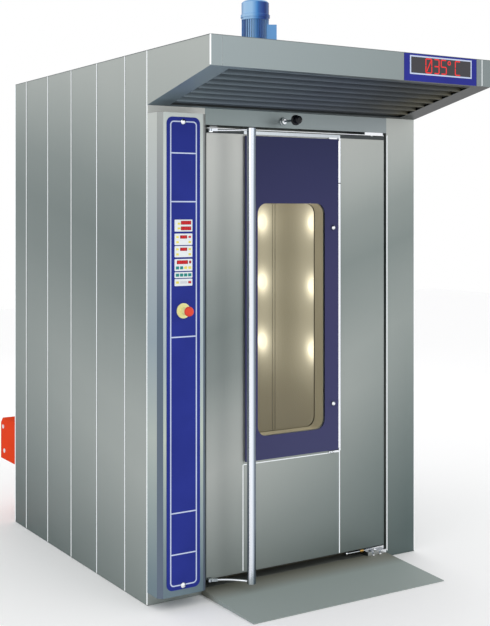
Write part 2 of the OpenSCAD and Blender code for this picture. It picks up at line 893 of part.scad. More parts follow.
// The face panels of the door, and the polished trim along its top.
module door_panels() {
    strip_x = hinge_x + hinge_tube_r;
    low_top = glass_z - 16;
    color("silver") oven() {
        translate([door_x, 0, door_z])
            cube([glass_inset - panel_gap, skin_t, door_h - top_trim_h - panel_gap]);
        translate([strip_x + panel_gap, 0, door_z])
            cube([door_right - strip_x - panel_gap, skin_t, door_h - top_trim_h - panel_gap]);
        translate([glass_x, 0, door_z])
            cube([strip_x - glass_x, skin_t, low_top - door_z]);
        difference() {
            translate([glass_x, 0, low_top + panel_gap])
                cube([strip_x - glass_x, skin_t,
                      door_top - top_trim_h - low_top - 2*panel_gap]);
            window_hole(-1, skin_t + 2, 0);
        }
        translate([door_x, -trim_out, door_top - top_trim_h])
            cube([door_w, skin_t + trim_out, top_trim_h]);
    }
}

module door_liner() {
    color("silver") oven() difference() {
        translate([door_x, door_t - skin_t, door_z])
            cube([door_w, skin_t, door_h]);
        window_hole(0, door_t + 1, 0);
    }
}

module door_insulation() {
    color("khaki") oven() difference() {
        translate([door_x + skin_t, 2*skin_t, door_z + skin_t])
            cube([door_w - 2*skin_t, door_t - 3*skin_t, door_h - 2*skin_t]);
        window_hole(0, door_t, glass_t);
    }
}

// The inner pane, bonded to the back of the liner round the window.
module inner_glass() {
    color("lightblue", 0.4) oven()
        window_hole(door_t - skin_t - glass_t, glass_t, glass_t - play);
}

// The seal on the door's inner face, with a skirt that closes the gap at the sill.
module door_seal() {
    x = opening_x - liner_t - seal_w;
    w = opening_w + 2*liner_t + 2*seal_w;
    top = opening_z + 1.5*seal_w;
    color("dimgray") oven() {
        difference() {
            translate([x, door_t, door_z + 4])
                cube([w, seal_t, top - door_z - 4]);
            translate([x + seal_w, door_t - 1, 0])
                cube([w - 2*seal_w, seal_t + 2, top - seal_w]);
        }
        translate([x, door_t, ramp_h + 2])
            cube([w - 60, seal_t, door_z + 4 - ramp_h - 2]);
    }
}

// The pins that the door and the handle turn on.
module door_pins() {
    color("silver") oven() {
        translate([pivot_x, pivot_y, door_top])
            cylinder(r = pivot_r, h = header_z - door_top - 3, $fn = 64);
        translate([pivot_x, pivot_y, door_z - 16])
            cylinder(r = pivot_r, h = 16, $fn = 64);
        for (z = [arm_low_z, arm_top_z])
            translate([handle_px, handle_py, z - hub_h/2 - play])
                cylinder(r = handle_pin_r, h = hub_h + 2*play, $fn = 64);
        for (ear = [[arm_low_z + hub_h/2 + play, 0],
                    [arm_top_z - hub_h/2 - play - ear_t, trim_out]])
            translate([handle_px - hub_r, handle_py - hub_r, ear[0]])
                cube([2*hub_r, hub_r - handle_py - ear[1], ear_t]);
    }
}

// The brackets on the casing that hold the door's pins: one under the header and one on
// the sill.
module pivot_brackets() {
    low_top = door_z - 4;
    left_x = pivot_x - bracket_w*0.6;
    lip = 20;
    color("gainsboro") oven() {
        difference() {
            translate([left_x, pivot_y - bracket_d/2, header_z - 12])
                cube([bracket_w, bracket_d, 12]);
            translate([pivot_x, pivot_y, header_z - 13])
                cylinder(r = pivot_r + run_gap, h = 14, $fn = 64);
        }
        difference() {
            union() {
                translate([left_x, play, floor_z])
                    cube([bracket_w, pivot_y + lip, low_top - floor_z]);
                translate([left_x, -lip, ramp_h + play])
                    cube([bracket_w, lip + play, 18]);
            }
            translate([pivot_x, pivot_y, floor_z + 8])
                cylinder(r = pivot_r + run_gap, h = low_top, $fn = 64);
        }
        for (x = [pivot_x - 34, pivot_x + 10])
            translate([x, -lip, ramp_h + play + 9])
                rotate([90, 0, 0])
                    cylinder(r = screw_r, h = 6, $fn = 32);
    }
}

// The roller catch: a block under the header with a roller just behind the door's edge.
module door_catch() {
    x = handle_px + 55;
    y = door_t - 22;
    color("silver") oven() {
        translate([x - 20, y - 10, header_z - 7])
            cube([40, 24, 7]);
        translate([x, y, door_top + 1])
            cylinder(r = 7, h = header_z - 7 - door_top - 1, $fn = 48);
    }
}

// The blue glass, with a flat channel that joins it to its hinge tube.
module outer_glass() {
    color("midnightblue", 0.8) oven()
        translate([glass_x, glass_front, glass_z])
            cube([glass_w - play, glass_t, glass_h]);
}

module glass_hinge() {
    plate = 46;
    color("gainsboro") oven() {
        difference() {
            union() {
                translate([hinge_x, hinge_y, glass_z + 8])
                    cylinder(r = hinge_tube_r, h = glass_h - 16, $fn = 64);
                translate([hinge_x - hinge_tube_r - plate, -glass_stand, glass_z + 8])
                    cube([hinge_tube_r + plate, skin_t, glass_h - 16]);
            }
            translate([hinge_x, hinge_y, glass_z])
                cylinder(r = hinge_rod_r + run_gap, h = glass_h, $fn = 64);
        }
    }
}

// The rod of the glass hinge, and the two feet that hold it on the door.
module hinge_rod() {
    foot_h = 12;
    color("silver") oven() {
        translate([hinge_x, hinge_y, glass_z - 6])
            cylinder(r = hinge_rod_r, h = glass_h + 12, $fn = 64);
        for (z = [glass_z - 6, glass_top - 6])
            translate([hinge_x - hinge_rod_r - 1, hinge_y - hinge_rod_r - 1, z])
                cube([2*hinge_rod_r + 2, -hinge_y + hinge_rod_r + 1, foot_h]);
    }
}

// Four screw knobs with domed heads at the corners of the glass.
module glass_knobs() {
    color("gainsboro") oven()
        for (x = [glass_x + knob_left, glass_x + glass_w - knob_right],
             z = [glass_z + knob_low, glass_top - knob_drop])
            translate([x, glass_front, z])
                rotate([90, 0, 0])
                    rotate_extrude($fn = 48)
                        polygon([[0, 0], [9, 0], [11, 3], [10, 8], [6, 12], [0, 13]]);
}

// The handle: a tall tube between two bent arms, each with a hub on its pivot pin.
module door_handle() {
    bar_l = 28;
    bar_w = 12;
    end_l = 2*handle_arm_r + 3;
    color("gainsboro") oven() {
        translate([handle_x, handle_y, arm_low_z - end_l/2])
            difference() {
                cylinder(r = handle_r, h = arm_top_z - arm_low_z + end_l, $fn = 64);
                translate([0, 0, end_l])
                    cylinder(r = handle_r - skin_t, h = arm_top_z - arm_low_z - end_l,
                             $fn = 64);
            }
        for (z = [arm_low_z, arm_top_z])
            difference() {
                union() {
                    translate([handle_px, handle_py, z - hub_h/2])
                        cylinder(r = hub_r, h = hub_h, $fn = 64);
                    translate([handle_px, handle_py, z - hub_h/2])
                        rotate([0, 0, arm_start - 94])
                            translate([bar_w/2, -bar_w/2, 0])
                                cube([bar_l, bar_w, hub_h]);
                    translate([arm_centre_x, arm_centre_y, z])
                        rotate([0, 0, arm_end])
                            rotate_extrude(angle = arm_start - arm_end, $fn = 192)
                                translate([handle_bend_r, 0])
                                    circle(r = handle_arm_r, $fn = 32);
                }
                translate([handle_px, handle_py, z - hub_h/2 - 1])
                    cylinder(r = handle_pin_r + run_gap, h = hub_h + 2, $fn = 64);
            }
    }
}

// ---- Rack drive ----

// Moves what follows to the motor's axis, turned so that X points to the rack's axis.
module at_motor() {
    translate([motor_dx, -motor_dy, 0])
        rotate([0, 0, motor_angle + 180])
            children();
}

// A sprocket wheel: a disc with a tooth between each pair of roller seats.
module sprocket(teeth, bore_r) {
    pitch_r = chain_pitch/2/sin(180/teeth);
    linear_extrude(sprocket_t)
        difference() {
            circle(r = pitch_r + roller_r*0.8, $fn = 96);
            circle(r = bore_r, $fn = 64);
            for (i = [0:teeth - 1])
                rotate((i + 0.5)*360/teeth)
                    translate([pitch_r, 0])
                        circle(r = roller_r, $fn = 24);
        }
}

module driven_sprocket() {
    color("darkgray")
        translate([0, 0, sprocket_z])
            sprocket(big_teeth, spindle_r + 4);
    color("darkgray")
        translate([0, 0, sprocket_z])
            difference() {
                cylinder(r = spindle_r + 18, h = sprocket_t + 14, $fn = 64);
                translate([0, 0, -1])
                    cylinder(r = spindle_r, h = sprocket_t + 16, $fn = 64);
            }
}

module drive_sprocket() {
    shaft_r = 14;
    color("darkgray") at_motor() {
        translate([0, 0, sprocket_z])
            sprocket(small_teeth, shaft_r - 2);
        translate([0, 0, sprocket_z - 4])
            cylinder(r = shaft_r, h = sprocket_t + 12 + 4 + 40, $fn = 64);
    }
}

// The chain: an upper and a lower loop of link plates, with rollers on the free runs.
module drive_chain() {
    plate_t = 3;
    wide = roller_r*0.7;
    lean = asin((big_pitch_r - small_pitch_r)/drive_c);
    run = drive_c*cos(lean);
    color("dimgray") at_motor() {
        for (z = [sprocket_z - plate_t - play, sprocket_z + sprocket_t + play])
            translate([0, 0, z])
                linear_extrude(plate_t)
                    difference() {
                        chain_loop(big_pitch_r + wide, small_pitch_r + wide);
                        chain_loop(big_pitch_r - wide, small_pitch_r - wide);
                    }
        for (side = [-1, 1])
            rotate([0, 0, side*(90 + lean)])
                translate([small_pitch_r, 0, sprocket_z - play - eps])
                    for (i = [2:floor(run/chain_pitch) - 3])
                        translate([0, -side*i*chain_pitch, 0])
                            cylinder(r = roller_r*0.5, h = sprocket_t + 2*play + 2*eps, $fn = 24);
    }
}

// The outline round two circles: the small one at the origin, the large one on the X axis.
module chain_loop(big_r, small_r) {
    lean = asin((big_r - small_r)/drive_c);
    step = 7.5;
    far_side = [for (a = [90 + lean:step:270 - lean]) small_r*[cos(a), sin(a)]];
    near_side = [for (a = [-90 - lean:step:90 + lean]) [drive_c, 0] + big_r*[cos(a), sin(a)]];
    last = small_r*[cos(270 - lean), sin(270 - lean)];
    end = [drive_c, 0] + big_r*[cos(90 + lean), sin(90 + lean)];
    polygon(concat(far_side, [last], near_side, [end]));
}

// The gearbox stands on a bracket whose open side faces the chain.
module gearbox() {
    wall = 12;
    color("steelblue") at_motor() {
        translate([-foot_w/2, -foot_w/2, casing_top])
            cube([foot_w, foot_w, 6]);
        translate([-foot_w/2, -foot_w/2, casing_top])
            cube([wall, foot_w, gearbox_z - casing_top]);
        difference() {
            union() {
                translate([-foot_w/2, -foot_w/2, gearbox_z])
                    cube([foot_w, foot_w, gearbox_h - 8]);
                translate([0, 0, gearbox_top - 8])
                    cylinder(r = motor_r - 4, h = 8, $fn = 96);
            }
            translate([0, 0, gearbox_z - 1])
                cylinder(r = 14 + run_gap, h = 46, $fn = 64);
        }
    }
}

// The motor: a flange, a body with fins all round, end shields, a terminal box on its
// right and a fan cowl on top.
module rack_motor() {
    core_r = motor_r - 7;
    color("dodgerblue") translate([motor_dx, -motor_dy, 0]) {
        translate([0, 0, gearbox_top])
            cylinder(r = motor_r + 6, h = flange_t, $fn = 96);
        translate([0, 0, motor_z])
            linear_extrude(motor_h) {
                circle(r = core_r, $fn = 96);
                for (i = [0:motor_fins - 1])
                    rotate(i*360/motor_fins)
                        translate([core_r - 2, -1.2])
                            square([motor_r - core_r + 2, 2.4]);
            }
        for (z = [motor_z, cowl_z - 12])
            translate([0, 0, z])
                cylinder(r = motor_r + 1, h = 12, $fn = 96);
        rotate([0, 0, -32])
            translate([core_r - 6, -terminal_w/2, motor_z + 18])
                cube([terminal_l + 6, terminal_w, terminal_h]);
        translate([0, 0, cowl_z])
            rotate_extrude($fn = 96)
                polygon([[0, 0], [motor_r + 5.5, 0], [motor_r + 5.5, 14], [motor_r + 1, 16],
                         [motor_r + 1, cowl_h - 8], [motor_r - 7, cowl_h], [0, cowl_h]]);
    }
}

module bearing_housing() {
    color("darkgray") difference() {
        union() {
            translate([0, 0, ceiling_z + liner_t])
                cylinder(r = spindle_r + bearing_wall, h = casing_top - ceiling_z - liner_t,
                         $fn = 64);
            translate([0, 0, casing_top])
                cylinder(r = spindle_r + bearing_flange, h = bearing_t, $fn = 96);
        }
        translate([0, 0, ceiling_z - 1])
            cylinder(r = spindle_r + run_gap, h = casing_top - ceiling_z + 20, $fn = 64);
    }
}

// The spindle, with a collar that rests on the bearing.
module rack_spindle() {
    color("silver") {
        translate([0, 0, hook_z])
            cylinder(r = spindle_r, h = sprocket_z + sprocket_t + 20 - hook_z, $fn = 64);
        translate([0, 0, casing_top + bearing_t + play])
            cylinder(r = spindle_r + 8, h = sprocket_z - casing_top - bearing_t - 2*play,
                     $fn = 64);
    }
}

// The rack's hook: a beam on the spindle with two claws that face opposite ways.
module rack_hook() {
    claw_l = 40;
    color("silver") {
        difference() {
            union() {
                translate([-hook_l/2, -hook_w/2, hook_z - hook_t])
                    cube([hook_l, hook_w, hook_t]);
                translate([0, 0, hook_z])
                    cylinder(r = spindle_r + hook_t, h = 30, $fn = 64);
            }
            translate([0, 0, hook_z])
                cylinder(r = spindle_r, h = 60, $fn = 64);
        }
        for (turn = [0, 180])
            rotate([0, 0, turn])
                translate([hook_l/2 - claw_l, -hook_w/2, hook_z - hook_t - claw_h]) {
                    translate([0, 0, claw_t]) cube([claw_t, hook_w, claw_h - claw_t]);
                    cube([claw_l, hook_w, claw_t]);
                    translate([claw_l - 8, 0, 0]) cube([8, hook_w, 26]);
                }
    }
}

// ---- Heating and air ----

// The combustion chamber, its two feet, and the tube bundle between two end boxes, with
// the flue on top of the right box.
module heat_exchanger() {
    fire_x = 150;
    fire_l = body_w - 2*fire_x;
    fire_r = fire_d/2;
    low = burner_z + fire_r + 110;
    high = fan_z - fan_d/2 - 70;
    row = (high - low)/tube_rows;
    box_d = 190;
    box_w = 70;
    left_x = fire_x + 60;
    right_x = flue_x - box_w/2 + 10;
    color("peru") oven() {
        x_bar(fire_x, exchanger_y, burner_z, fire_r, fire_l);
        for (x = [left_x, right_x])
            translate([x, exchanger_y - box_d/2, low - 20])
                cube([box_w, box_d, high - low + 40]);
        for (i = [0:tube_rows - 1], side = [-1, 1])
            x_bar(left_x + box_w - 1, exchanger_y + side*48, low + (i + 0.5)*row, tube_d/2,
                  right_x - left_x - box_w + 2);
        translate([right_x + box_w/2, exchanger_y, burner_z])
            cylinder(r = 32, h = low - burner_z - 10, $fn = 48);
        for (x = [fire_x + 200, body_w - fire_x - 220])
            translate([x, exchanger_y - fire_r*0.8, floor_z])
                cube([20, fire_r*1.6, burner_z - floor_z]);
    }
}

// The burner: a flange on the back wall, a blast tube through it, and a red cover.
module burner() {
    tube_end = exchanger_y + fire_d/2 + play;
    cover_y = body_d + 32;
    cover_top = burner_z + burner_h/2;
    color("tomato") oven() {
        y_bar(burner_x, tube_end, burner_z, fire_d*0.25, body_d + 40 - tube_end);
        y_bar(burner_x, body_d, burner_z, fire_d*0.42, 12);
        difference() {
            translate([burner_x - burner_w/2, cover_y, cover_top - burner_h])
                cube([burner_w, burner_l, burner_h]);
            translate([burner_x - burner_w/2 - 1, cover_y + burner_l, cover_top])
                rotate([0, 90, 0])
                    cylinder(r = 30, h = burner_w + 2, $fn = 4);
        }
    }
}

// A straight spigot through the roof: a tube with a collar that lies on the roof.
module spigot(x, y, d, low) {
    translate([x, y, 0])
        difference() {
            union() {
                translate([0, 0, low])
                    cylinder(d = d, h = spigot_z - low, $fn = 96);
                translate([0, 0, casing_top])
                    cylinder(d = d + 50, h = 3, $fn = 96);
            }
            translate([0, 0, low - 1])
                cylinder(d = d - 2*spigot_wall, h = spigot_z - low + 2, $fn = 96);
        }
}

// The flue and the vapour pipe. The damper's gate slides in a flat box half way up the
// vapour pipe.
module roof_spigots() {
    cut_h = gate_t + 1;
    color("silver") oven() {
        spigot(flue_x, flue_y, flue_d, fan_z - fan_d/2 - 50);
        difference() {
            union() {
                spigot(vapour_x, vapour_y, vapour_d, ceiling_z + liner_t);
                translate([vapour_x - gate_w/2 - 6, vapour_y - gate_w/2 - damper_travel,
                           damper_z - cut_h/2 - 5])
                    cube([gate_w + 12, gate_w + damper_travel + 6, cut_h + 10]);
            }
            translate([vapour_x, vapour_y, damper_z - 20])
                cylinder(d = vapour_d - 2*spigot_wall, h = 40, $fn = 96);
            translate([vapour_x - gate_w/2 - 0.5, vapour_y - gate_w/2 - damper_travel - 1,
                       damper_z - cut_h/2])
                cube([gate_w + 1, gate_w + damper_travel + 1.5, cut_h]);
            y_bar(vapour_x, vapour_y - gate_w/2 - damper_travel - 1, damper_z,
                  damper_rod_r + play, damper_travel + 8);
        }
    }
}

// The damper: a gate plate on a pull rod.
module damper_rod() {
    gate_y = vapour_y - gate_w/2 - damper_travel;
    color("silver") oven() {
        translate([vapour_x - gate_w/2, gate_y, damper_z - gate_t/2])
            cube([gate_w, gate_w, gate_t]);
        y_bar(vapour_x, knob_y + 2, damper_z, damper_rod_r, gate_y + 4 - knob_y);
    }
}

module damper_knob() {
    r = damper_knob_r;
    color("black") oven() difference() {
        translate([vapour_x, knob_y + 12, damper_z])
            rotate([90, 0, 0])
                rotate_extrude($fn = 64)
                    polygon([[0, 0], [r - 2, 0], [r, 2], [r, 9], [r*0.6, 12], [r*0.55, 16],
                             [r*0.8, 22], [r*0.75, 32], [r*0.4, 37], [0, 38]]);
        y_bar(vapour_x, knob_y + 2, damper_z, damper_rod_r, 12);
    }
}

// The fan's motor on the back wall, with its flange, fins, cowl and terminal box.
module fan_motor() {
    r = 90;
    l = 230;
    color("steelblue") oven() difference() {
        union() {
            y_bar(mid_x, body_d, fan_z, r + 20, 14);
            y_bar(mid_x, body_d, fan_z, r - 8, l);
            for (i = [0:motor_fins - 1])
                translate([mid_x, body_d + 14, fan_z])
                    rotate([0, i*360/motor_fins, 0])
                        translate([r - 12, 0, -1.5])
                            cube([12, l - 60, 3]);
            y_bar(mid_x, body_d + l - 46, fan_z, r + 3, 60);
            translate([mid_x - 50, body_d + 40, fan_z + r - 20])
                cube([100, 110, 60]);
        }
        y_bar(mid_x, body_d - 1, fan_z, spindle_r + run_gap, 121);
    }
}

// The fan wheel: a back disc and a front ring with blades between, on its shaft.
module fan_wheel() {
    wheel_y = chamber_back_y + liner_t + 24;
    r = fan_d/2;
    color("silver") oven() {
        y_bar(mid_x, wheel_y, fan_z, spindle_r, body_d + 118 - wheel_y);
        y_bar(mid_x, wheel_y + fan_w - 3, fan_z, r, 3);
        difference() {
            y_bar(mid_x, wheel_y, fan_z, r, 3);
            y_bar(mid_x, wheel_y - 1, fan_z, r*0.7, 5);
        }
        y_bar(mid_x, wheel_y + fan_w - 40, fan_z, spindle_r + 15, 40);
        for (i = [0:fan_blades - 1])
            translate([mid_x, wheel_y, fan_z])
                rotate([0, i*360/fan_blades, 0])
                    translate([r*0.72, 0, 0])
                        rotate([0, 25, 0])
                            cube([r*0.27, fan_w, 2.5]);
    }
}

// Six round lamps on the right air wall, in two columns of three.
module chamber_lamps() {
    lens_r = 34;
    wall_x = chamber_x + chamber_w - play;
    color("wheat") oven()
        for (y = [lamp_y, lamp_y + lamp_dy], z = [lamp_z:lamp_dz:lamp_z + 2*lamp_dz])
            translate([wall_x, y, z])
                rotate([0, -90, 0])
                    rotate_extrude($fn = 48)
                        polygon([[0, 0], [lens_r + 8, 0], [lens_r + 8, 5], [lens_r, 8],
                                 [lens_r*0.8, 14], [lens_r*0.4, 18], [0, 19]]);
}

base_frame();
chamber_floor();
wall_insulation();
roof_insulation();
chamber_side_walls();
chamber_back_wall();
chamber_ceiling();
front_frame();
supply_panel();
return_panel();
exchanger_screen();
left_cladding();
right_cladding();
back_cladding();
roof_panels();
left_pillar();
right_pillar();
header_panel();
hood_shell();
hood_fascia();
baffle_filters();
display_plate();
display_window();
control_column();
control_label();
control_modules();
stop_collar();
stop_button();
column_screws();
ramp();
pivot_brackets();
door_catch();
heat_exchanger();
burner();
roof_spigots();
fan_motor();
fan_wheel();
rack_motor();
gearbox();
drive_sprocket();
drive_chain();
bearing_housing();
rack_spindle();
driven_sprocket();
rack_hook();
chamber_lamps();
damper_rod();
damper_knob();
door_shell();
door_panels();
door_liner();
door_insulation();
inner_glass();
door_seal();
door_pins();
outer_glass();
glass_hinge();
hinge_rod();
glass_knobs();
door_handle();
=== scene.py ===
# %% [markdown]
# # A rotating rack oven, dressed
# A bakery oven: a tall steel cabinet with one door, and a hook inside that turns a rack. The
# construction comes packed as a frame of named solids in metres. This lesson gives each solid
# its finish and adds what sheet metal shows up close: bright folded joints, printed lines,
# keys, read-outs, screws and glass. New pieces are placed from the frame's own boxes, or in
# millimetres from the casing's front left corner.

# %% Load the frame
import json
import math

import bmesh
import bpy
import numpy as np
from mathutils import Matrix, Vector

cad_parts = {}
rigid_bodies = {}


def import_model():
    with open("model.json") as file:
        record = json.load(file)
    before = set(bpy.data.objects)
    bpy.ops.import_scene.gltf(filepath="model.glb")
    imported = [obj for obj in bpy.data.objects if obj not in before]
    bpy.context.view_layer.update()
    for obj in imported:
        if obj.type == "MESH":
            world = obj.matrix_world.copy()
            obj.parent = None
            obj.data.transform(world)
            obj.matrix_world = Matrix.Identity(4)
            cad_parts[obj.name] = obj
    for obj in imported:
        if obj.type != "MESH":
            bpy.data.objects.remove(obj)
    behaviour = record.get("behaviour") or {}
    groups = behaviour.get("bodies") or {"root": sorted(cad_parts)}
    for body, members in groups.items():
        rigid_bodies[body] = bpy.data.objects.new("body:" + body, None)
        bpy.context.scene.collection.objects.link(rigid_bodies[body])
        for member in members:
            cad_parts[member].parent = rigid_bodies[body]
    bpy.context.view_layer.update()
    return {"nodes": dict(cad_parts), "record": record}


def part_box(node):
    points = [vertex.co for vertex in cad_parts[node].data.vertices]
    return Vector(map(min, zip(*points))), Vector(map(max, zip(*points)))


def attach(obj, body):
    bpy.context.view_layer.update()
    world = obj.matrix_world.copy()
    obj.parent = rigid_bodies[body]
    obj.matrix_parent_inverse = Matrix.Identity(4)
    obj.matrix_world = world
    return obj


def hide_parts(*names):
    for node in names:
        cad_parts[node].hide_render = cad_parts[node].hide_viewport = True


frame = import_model()
nodes = frame["nodes"]
MM = 0.001
SCENE_OBJECTS = bpy.context.scene.collection.objects
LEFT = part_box("left_cladding")[0].x
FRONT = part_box("left_pillar")[0].y
print("casing corner", round(LEFT, 3), round(FRONT, 3), "nodes", len(nodes))


def at(x, y, z):
    """A point in metres from millimetres right of, behind and above the casing's corner."""
    return np.array([LEFT + x * MM, FRONT + y * MM, z * MM])


# %% [markdown]
# ## Camera
# The photograph was taken from a standing eye height with the verticals kept upright, as an
# architect's camera does it. So the camera looks level, and the lens is shifted down instead
# of tilted. The place and the turn were worked out from the casing's straight edges.

# %% Place the camera
EYE = (-3.002, -5.084, 1.701)
TURN = math.radians(32.107)
PHOTO_HEIGHT = 626
FOCAL_PIXELS = 1137.1
HORIZON_ABOVE_MIDDLE = 101.1
SENSOR = 36.0

lens_data = bpy.data.cameras.new("view")
lens_data.sensor_width = SENSOR
lens_data.sensor_fit = "AUTO"
lens_data.lens = FOCAL_PIXELS / PHOTO_HEIGHT * SENSOR
lens_data.shift_y = -HORIZON_ABOVE_MIDDLE / PHOTO_HEIGHT
camera = bpy.data.objects.new("view", lens_data)
camera.location = EYE
camera.rotation_euler = (math.pi / 2, 0, -TURN)
SCENE_OBJECTS.link(camera)
bpy.context.scene.camera = camera
print("lens", round(lens_data.lens, 2), "mm")

# %% [markdown]
# ## Floor and light
# A white studio: a wide floor, an even white room all round, and three large soft lamps. The
# light is so even that each finish shows close to its own colour. The steel's broad bands of
# light and dark are painted as part of its finish, so they stay where they are in every view.

# %% Build the studio
LAMP_POWER = 30
FLOOR_HALF = 14.0

world = bpy.data.worlds.new("studio")
world.use_nodes = True
room = world.node_tree.nodes["Background"]
room.inputs["Color"].default_value = (1.0, 1.0, 1.0, 1)
room.inputs["Strength"].default_value = 1.0
bpy.context.scene.world = world
bpy.context.scene.view_settings.view_transform = "Standard"


def area_lamp(name, place, target, size):
    """A square soft lamp of this size at place that faces target."""
    data = bpy.data.lights.new(name, "AREA")
    data.size = size
    data.energy = LAMP_POWER
    lamp = bpy.data.objects.new(name, data)
    lamp.location = place
    aim = np.array(target) - np.array(place)
    flat = math.hypot(aim[0], aim[1])
    lamp.rotation_euler = (math.atan2(flat, -aim[2]), 0, math.atan2(aim[1], aim[0]) - math.pi / 2)
    SCENE_OBJECTS.link(lamp)


area_lamp("front_lamp", (1.5, -6.0, 4.0), (0, -0.5, 1.2), 3.5)
area_lamp("left_lamp", (-6.0, -2.5, 3.5), (0, 0, 1.2), 3.5)
area_lamp("back_lamp", (2.5, 5.0, 5.0), (0, 0, 1.5), 3.0)


def seen(red, green, blue):
    """The surface colour for these 0 to 255 screen values. With v from 0 to 1 it is v / 12.92 up
    to 0.04045, and ((v + 0.055) / 1.055) to the power 2.4 above."""
    v = np.array([red, green, blue]) / 255
    linear = np.where(v <= 0.04045, v / 12.92, ((v + 0.055) / 1.055) ** 2.4)
    return tuple(linear.round(4).tolist())


def material(name, colour=(0.5, 0.5, 0.5), rough=0.5, metal=0.0):
    """A new material with a Principled BSDF, returned with its nodes and links."""
    mat = bpy.data.materials.new(name)
    mat.use_nodes = True
    tree = mat.node_tree
    shader = tree.nodes["Principled BSDF"]
    shader.inputs["Base Color"].default_value = (*colour, 1)
    shader.inputs["Roughness"].default_value = rough
    shader.inputs["Metallic"].default_value = metal
    return mat, tree, shader


floor_mat, _, _ = material("studio_floor", (0.97, 0.97, 0.975), 0.8)
floor_mesh = bpy.data.meshes.new("studio_floor")
corners = [(x * FLOOR_HALF, y * FLOOR_HALF, 0) for x, y in ((-1, -1), (1, -1), (1, 1), (-1, 1))]
floor_mesh.from_pydata(corners, [], [(0, 1, 2, 3)])
floor_mesh.materials.append(floor_mat)
floor = bpy.data.objects.new("studio_floor", floor_mesh)
floor.location.z = -MM
SCENE_OBJECTS.link(floor)

# %% [markdown]
# ## Effects that several finishes share
# Rolled stainless sheet has a fine grain along one direction and soft clouds from handling.
# Both are made once, as node groups that read Object coordinates, so that the grain keeps its
# true scale on each piece. The groups put out values only, and each material mixes its own
# colours from them.

# %% Make the shared node groups
def new_group(name, inputs, outputs):
    """A shader node group with named float inputs and outputs, and its two end nodes."""
    group = bpy.data.node_groups.new(name, "ShaderNodeTree")
    for label, value in inputs.items():
        socket = group.interface.new_socket(label, in_out="INPUT", socket_type="NodeSocketFloat")
        socket.default_value = value
    for label in outputs:
        group.interface.new_socket(label, in_out="OUTPUT", socket_type="NodeSocketFloat")
    start = group.nodes.new("NodeGroupInput")
    end = group.nodes.new("NodeGroupOutput")
    return group, start, end


def join(tree, *pairs):
    """Links each (output socket, input socket) pair."""
    for source, target in pairs:
        tree.links.new(source, target)


def math_node(tree, operation, a, b=None, clamp=False):
    """A Math node whose inputs are sockets or plain numbers; returns its output."""
    node = tree.nodes.new("ShaderNodeMath")
    node.operation = operation
    node.use_clamp = clamp
    for slot, value in enumerate((a, b)):
        if value is None:
            continue
        if isinstance(value, (int, float)):
            node.inputs[slot].default_value = value
        else:
            tree.links.new(value, node.inputs[slot])
    return node.outputs[0]


def vector_node(tree, operation, slot=0, value=None):
    """A Vector Math node, with a fixed value in one slot where one is given."""
    node = tree.nodes.new("ShaderNodeVectorMath")
    node.operation = operation
    if value is not None:
        node.inputs[slot].default_value = value
    return node


def grain_group():
    """Grain: noise drawn out along Z (vertical), as polishing belts leave it; the Across
    input gives lines per metre. Clouds: large soft noise."""
    group, start, end = new_group("sheet_grain", {"Across": 900.0, "Along": 6.0, "Clouds": 1.3},
                                  ("Grain", "Clouds"))
    coords = group.nodes.new("ShaderNodeTexCoord")
    scale = group.nodes.new("ShaderNodeCombineXYZ")
    stretch = vector_node(group, "MULTIPLY")
    fine = group.nodes.new("ShaderNodeTexNoise")
    fine.inputs["Scale"].default_value = 1.0
    fine.inputs["Detail"].default_value = 3.0
    soft = group.nodes.new("ShaderNodeTexNoise")
    soft.inputs["Detail"].default_value = 2.0
    join(group, (start.outputs["Across"], scale.inputs["X"]),
         (start.outputs["Across"], scale.inputs["Y"]), (start.outputs["Along"], scale.inputs["Z"]),
         (coords.outputs["Object"], stretch.inputs[0]), (scale.outputs[0], stretch.inputs[1]),
         (stretch.outputs[0], fine.inputs["Vector"]), (coords.outputs["Object"], soft.inputs["Vector"]),
         (start.outputs["Clouds"], soft.inputs["Scale"]),
         (fine.outputs["Fac"], end.inputs["Grain"]), (soft.outputs["Fac"], end.inputs["Clouds"]))
    return group


GRAIN = grain_group()


def add_group(tree, group, **values):
    """Places a node group in a material with its own input values."""
    node = tree.nodes.new("ShaderNodeGroup")
    node.node_tree = group
    for label, value in values.items():
        node.inputs[label].default_value = value
    return node


def colour_ramp(tree, factor, stops):
    """A Color Ramp from (place, colour) pairs, driven by factor; returns its colour."""
    ramp = tree.nodes.new("ShaderNodeValToRGB")
    bar = ramp.color_ramp
    while len(bar.elements) < len(stops):
        bar.elements.new(0.5)
    for element, (place, colour) in zip(bar.elements, stops):
        element.position = place
        element.color = (*colour, 1)
    tree.links.new(factor, ramp.inputs["Fac"])
    return ramp.outputs["Color"]


def bump(tree, shader, height, strength, distance):
    """Feeds height through a Bump node into the shader's Normal."""
    node = tree.nodes.new("ShaderNodeBump")
    node.inputs["Strength"].default_value = strength
    node.inputs["Distance"].default_value = distance
    join(tree, (height, node.inputs["Height"]), (node.outputs["Normal"], shader.inputs["Normal"]))


# %% [markdown]
# ## The painted sheen of the casing
# The photograph shows soft bands on the steel: bright at the top, dark at a third from the
# top, bright again below and dark at the foot. The bands slope a little along each face. So
# the place t of a point in the bands is worked out from its Object coordinates:
# t = (z - 0.38 x - 1.295) / 0.53 on faces that look to the front, and
# t = (z - 0.22 y - 1.624) / 0.82 on the sides. Each end of a face has bands of its own, and
# the points between mix the two. The inside of the hood lies in shade.

# %% Make the sheen
def axes_of(tree, output):
    """The X, Y and Z of a Texture Coordinate output."""
    coords = tree.nodes.new("ShaderNodeTexCoord")
    split = tree.nodes.new("ShaderNodeSeparateXYZ")
    tree.links.new(coords.outputs[output], split.inputs[0])
    return [split.outputs[k] for k in range(3)]


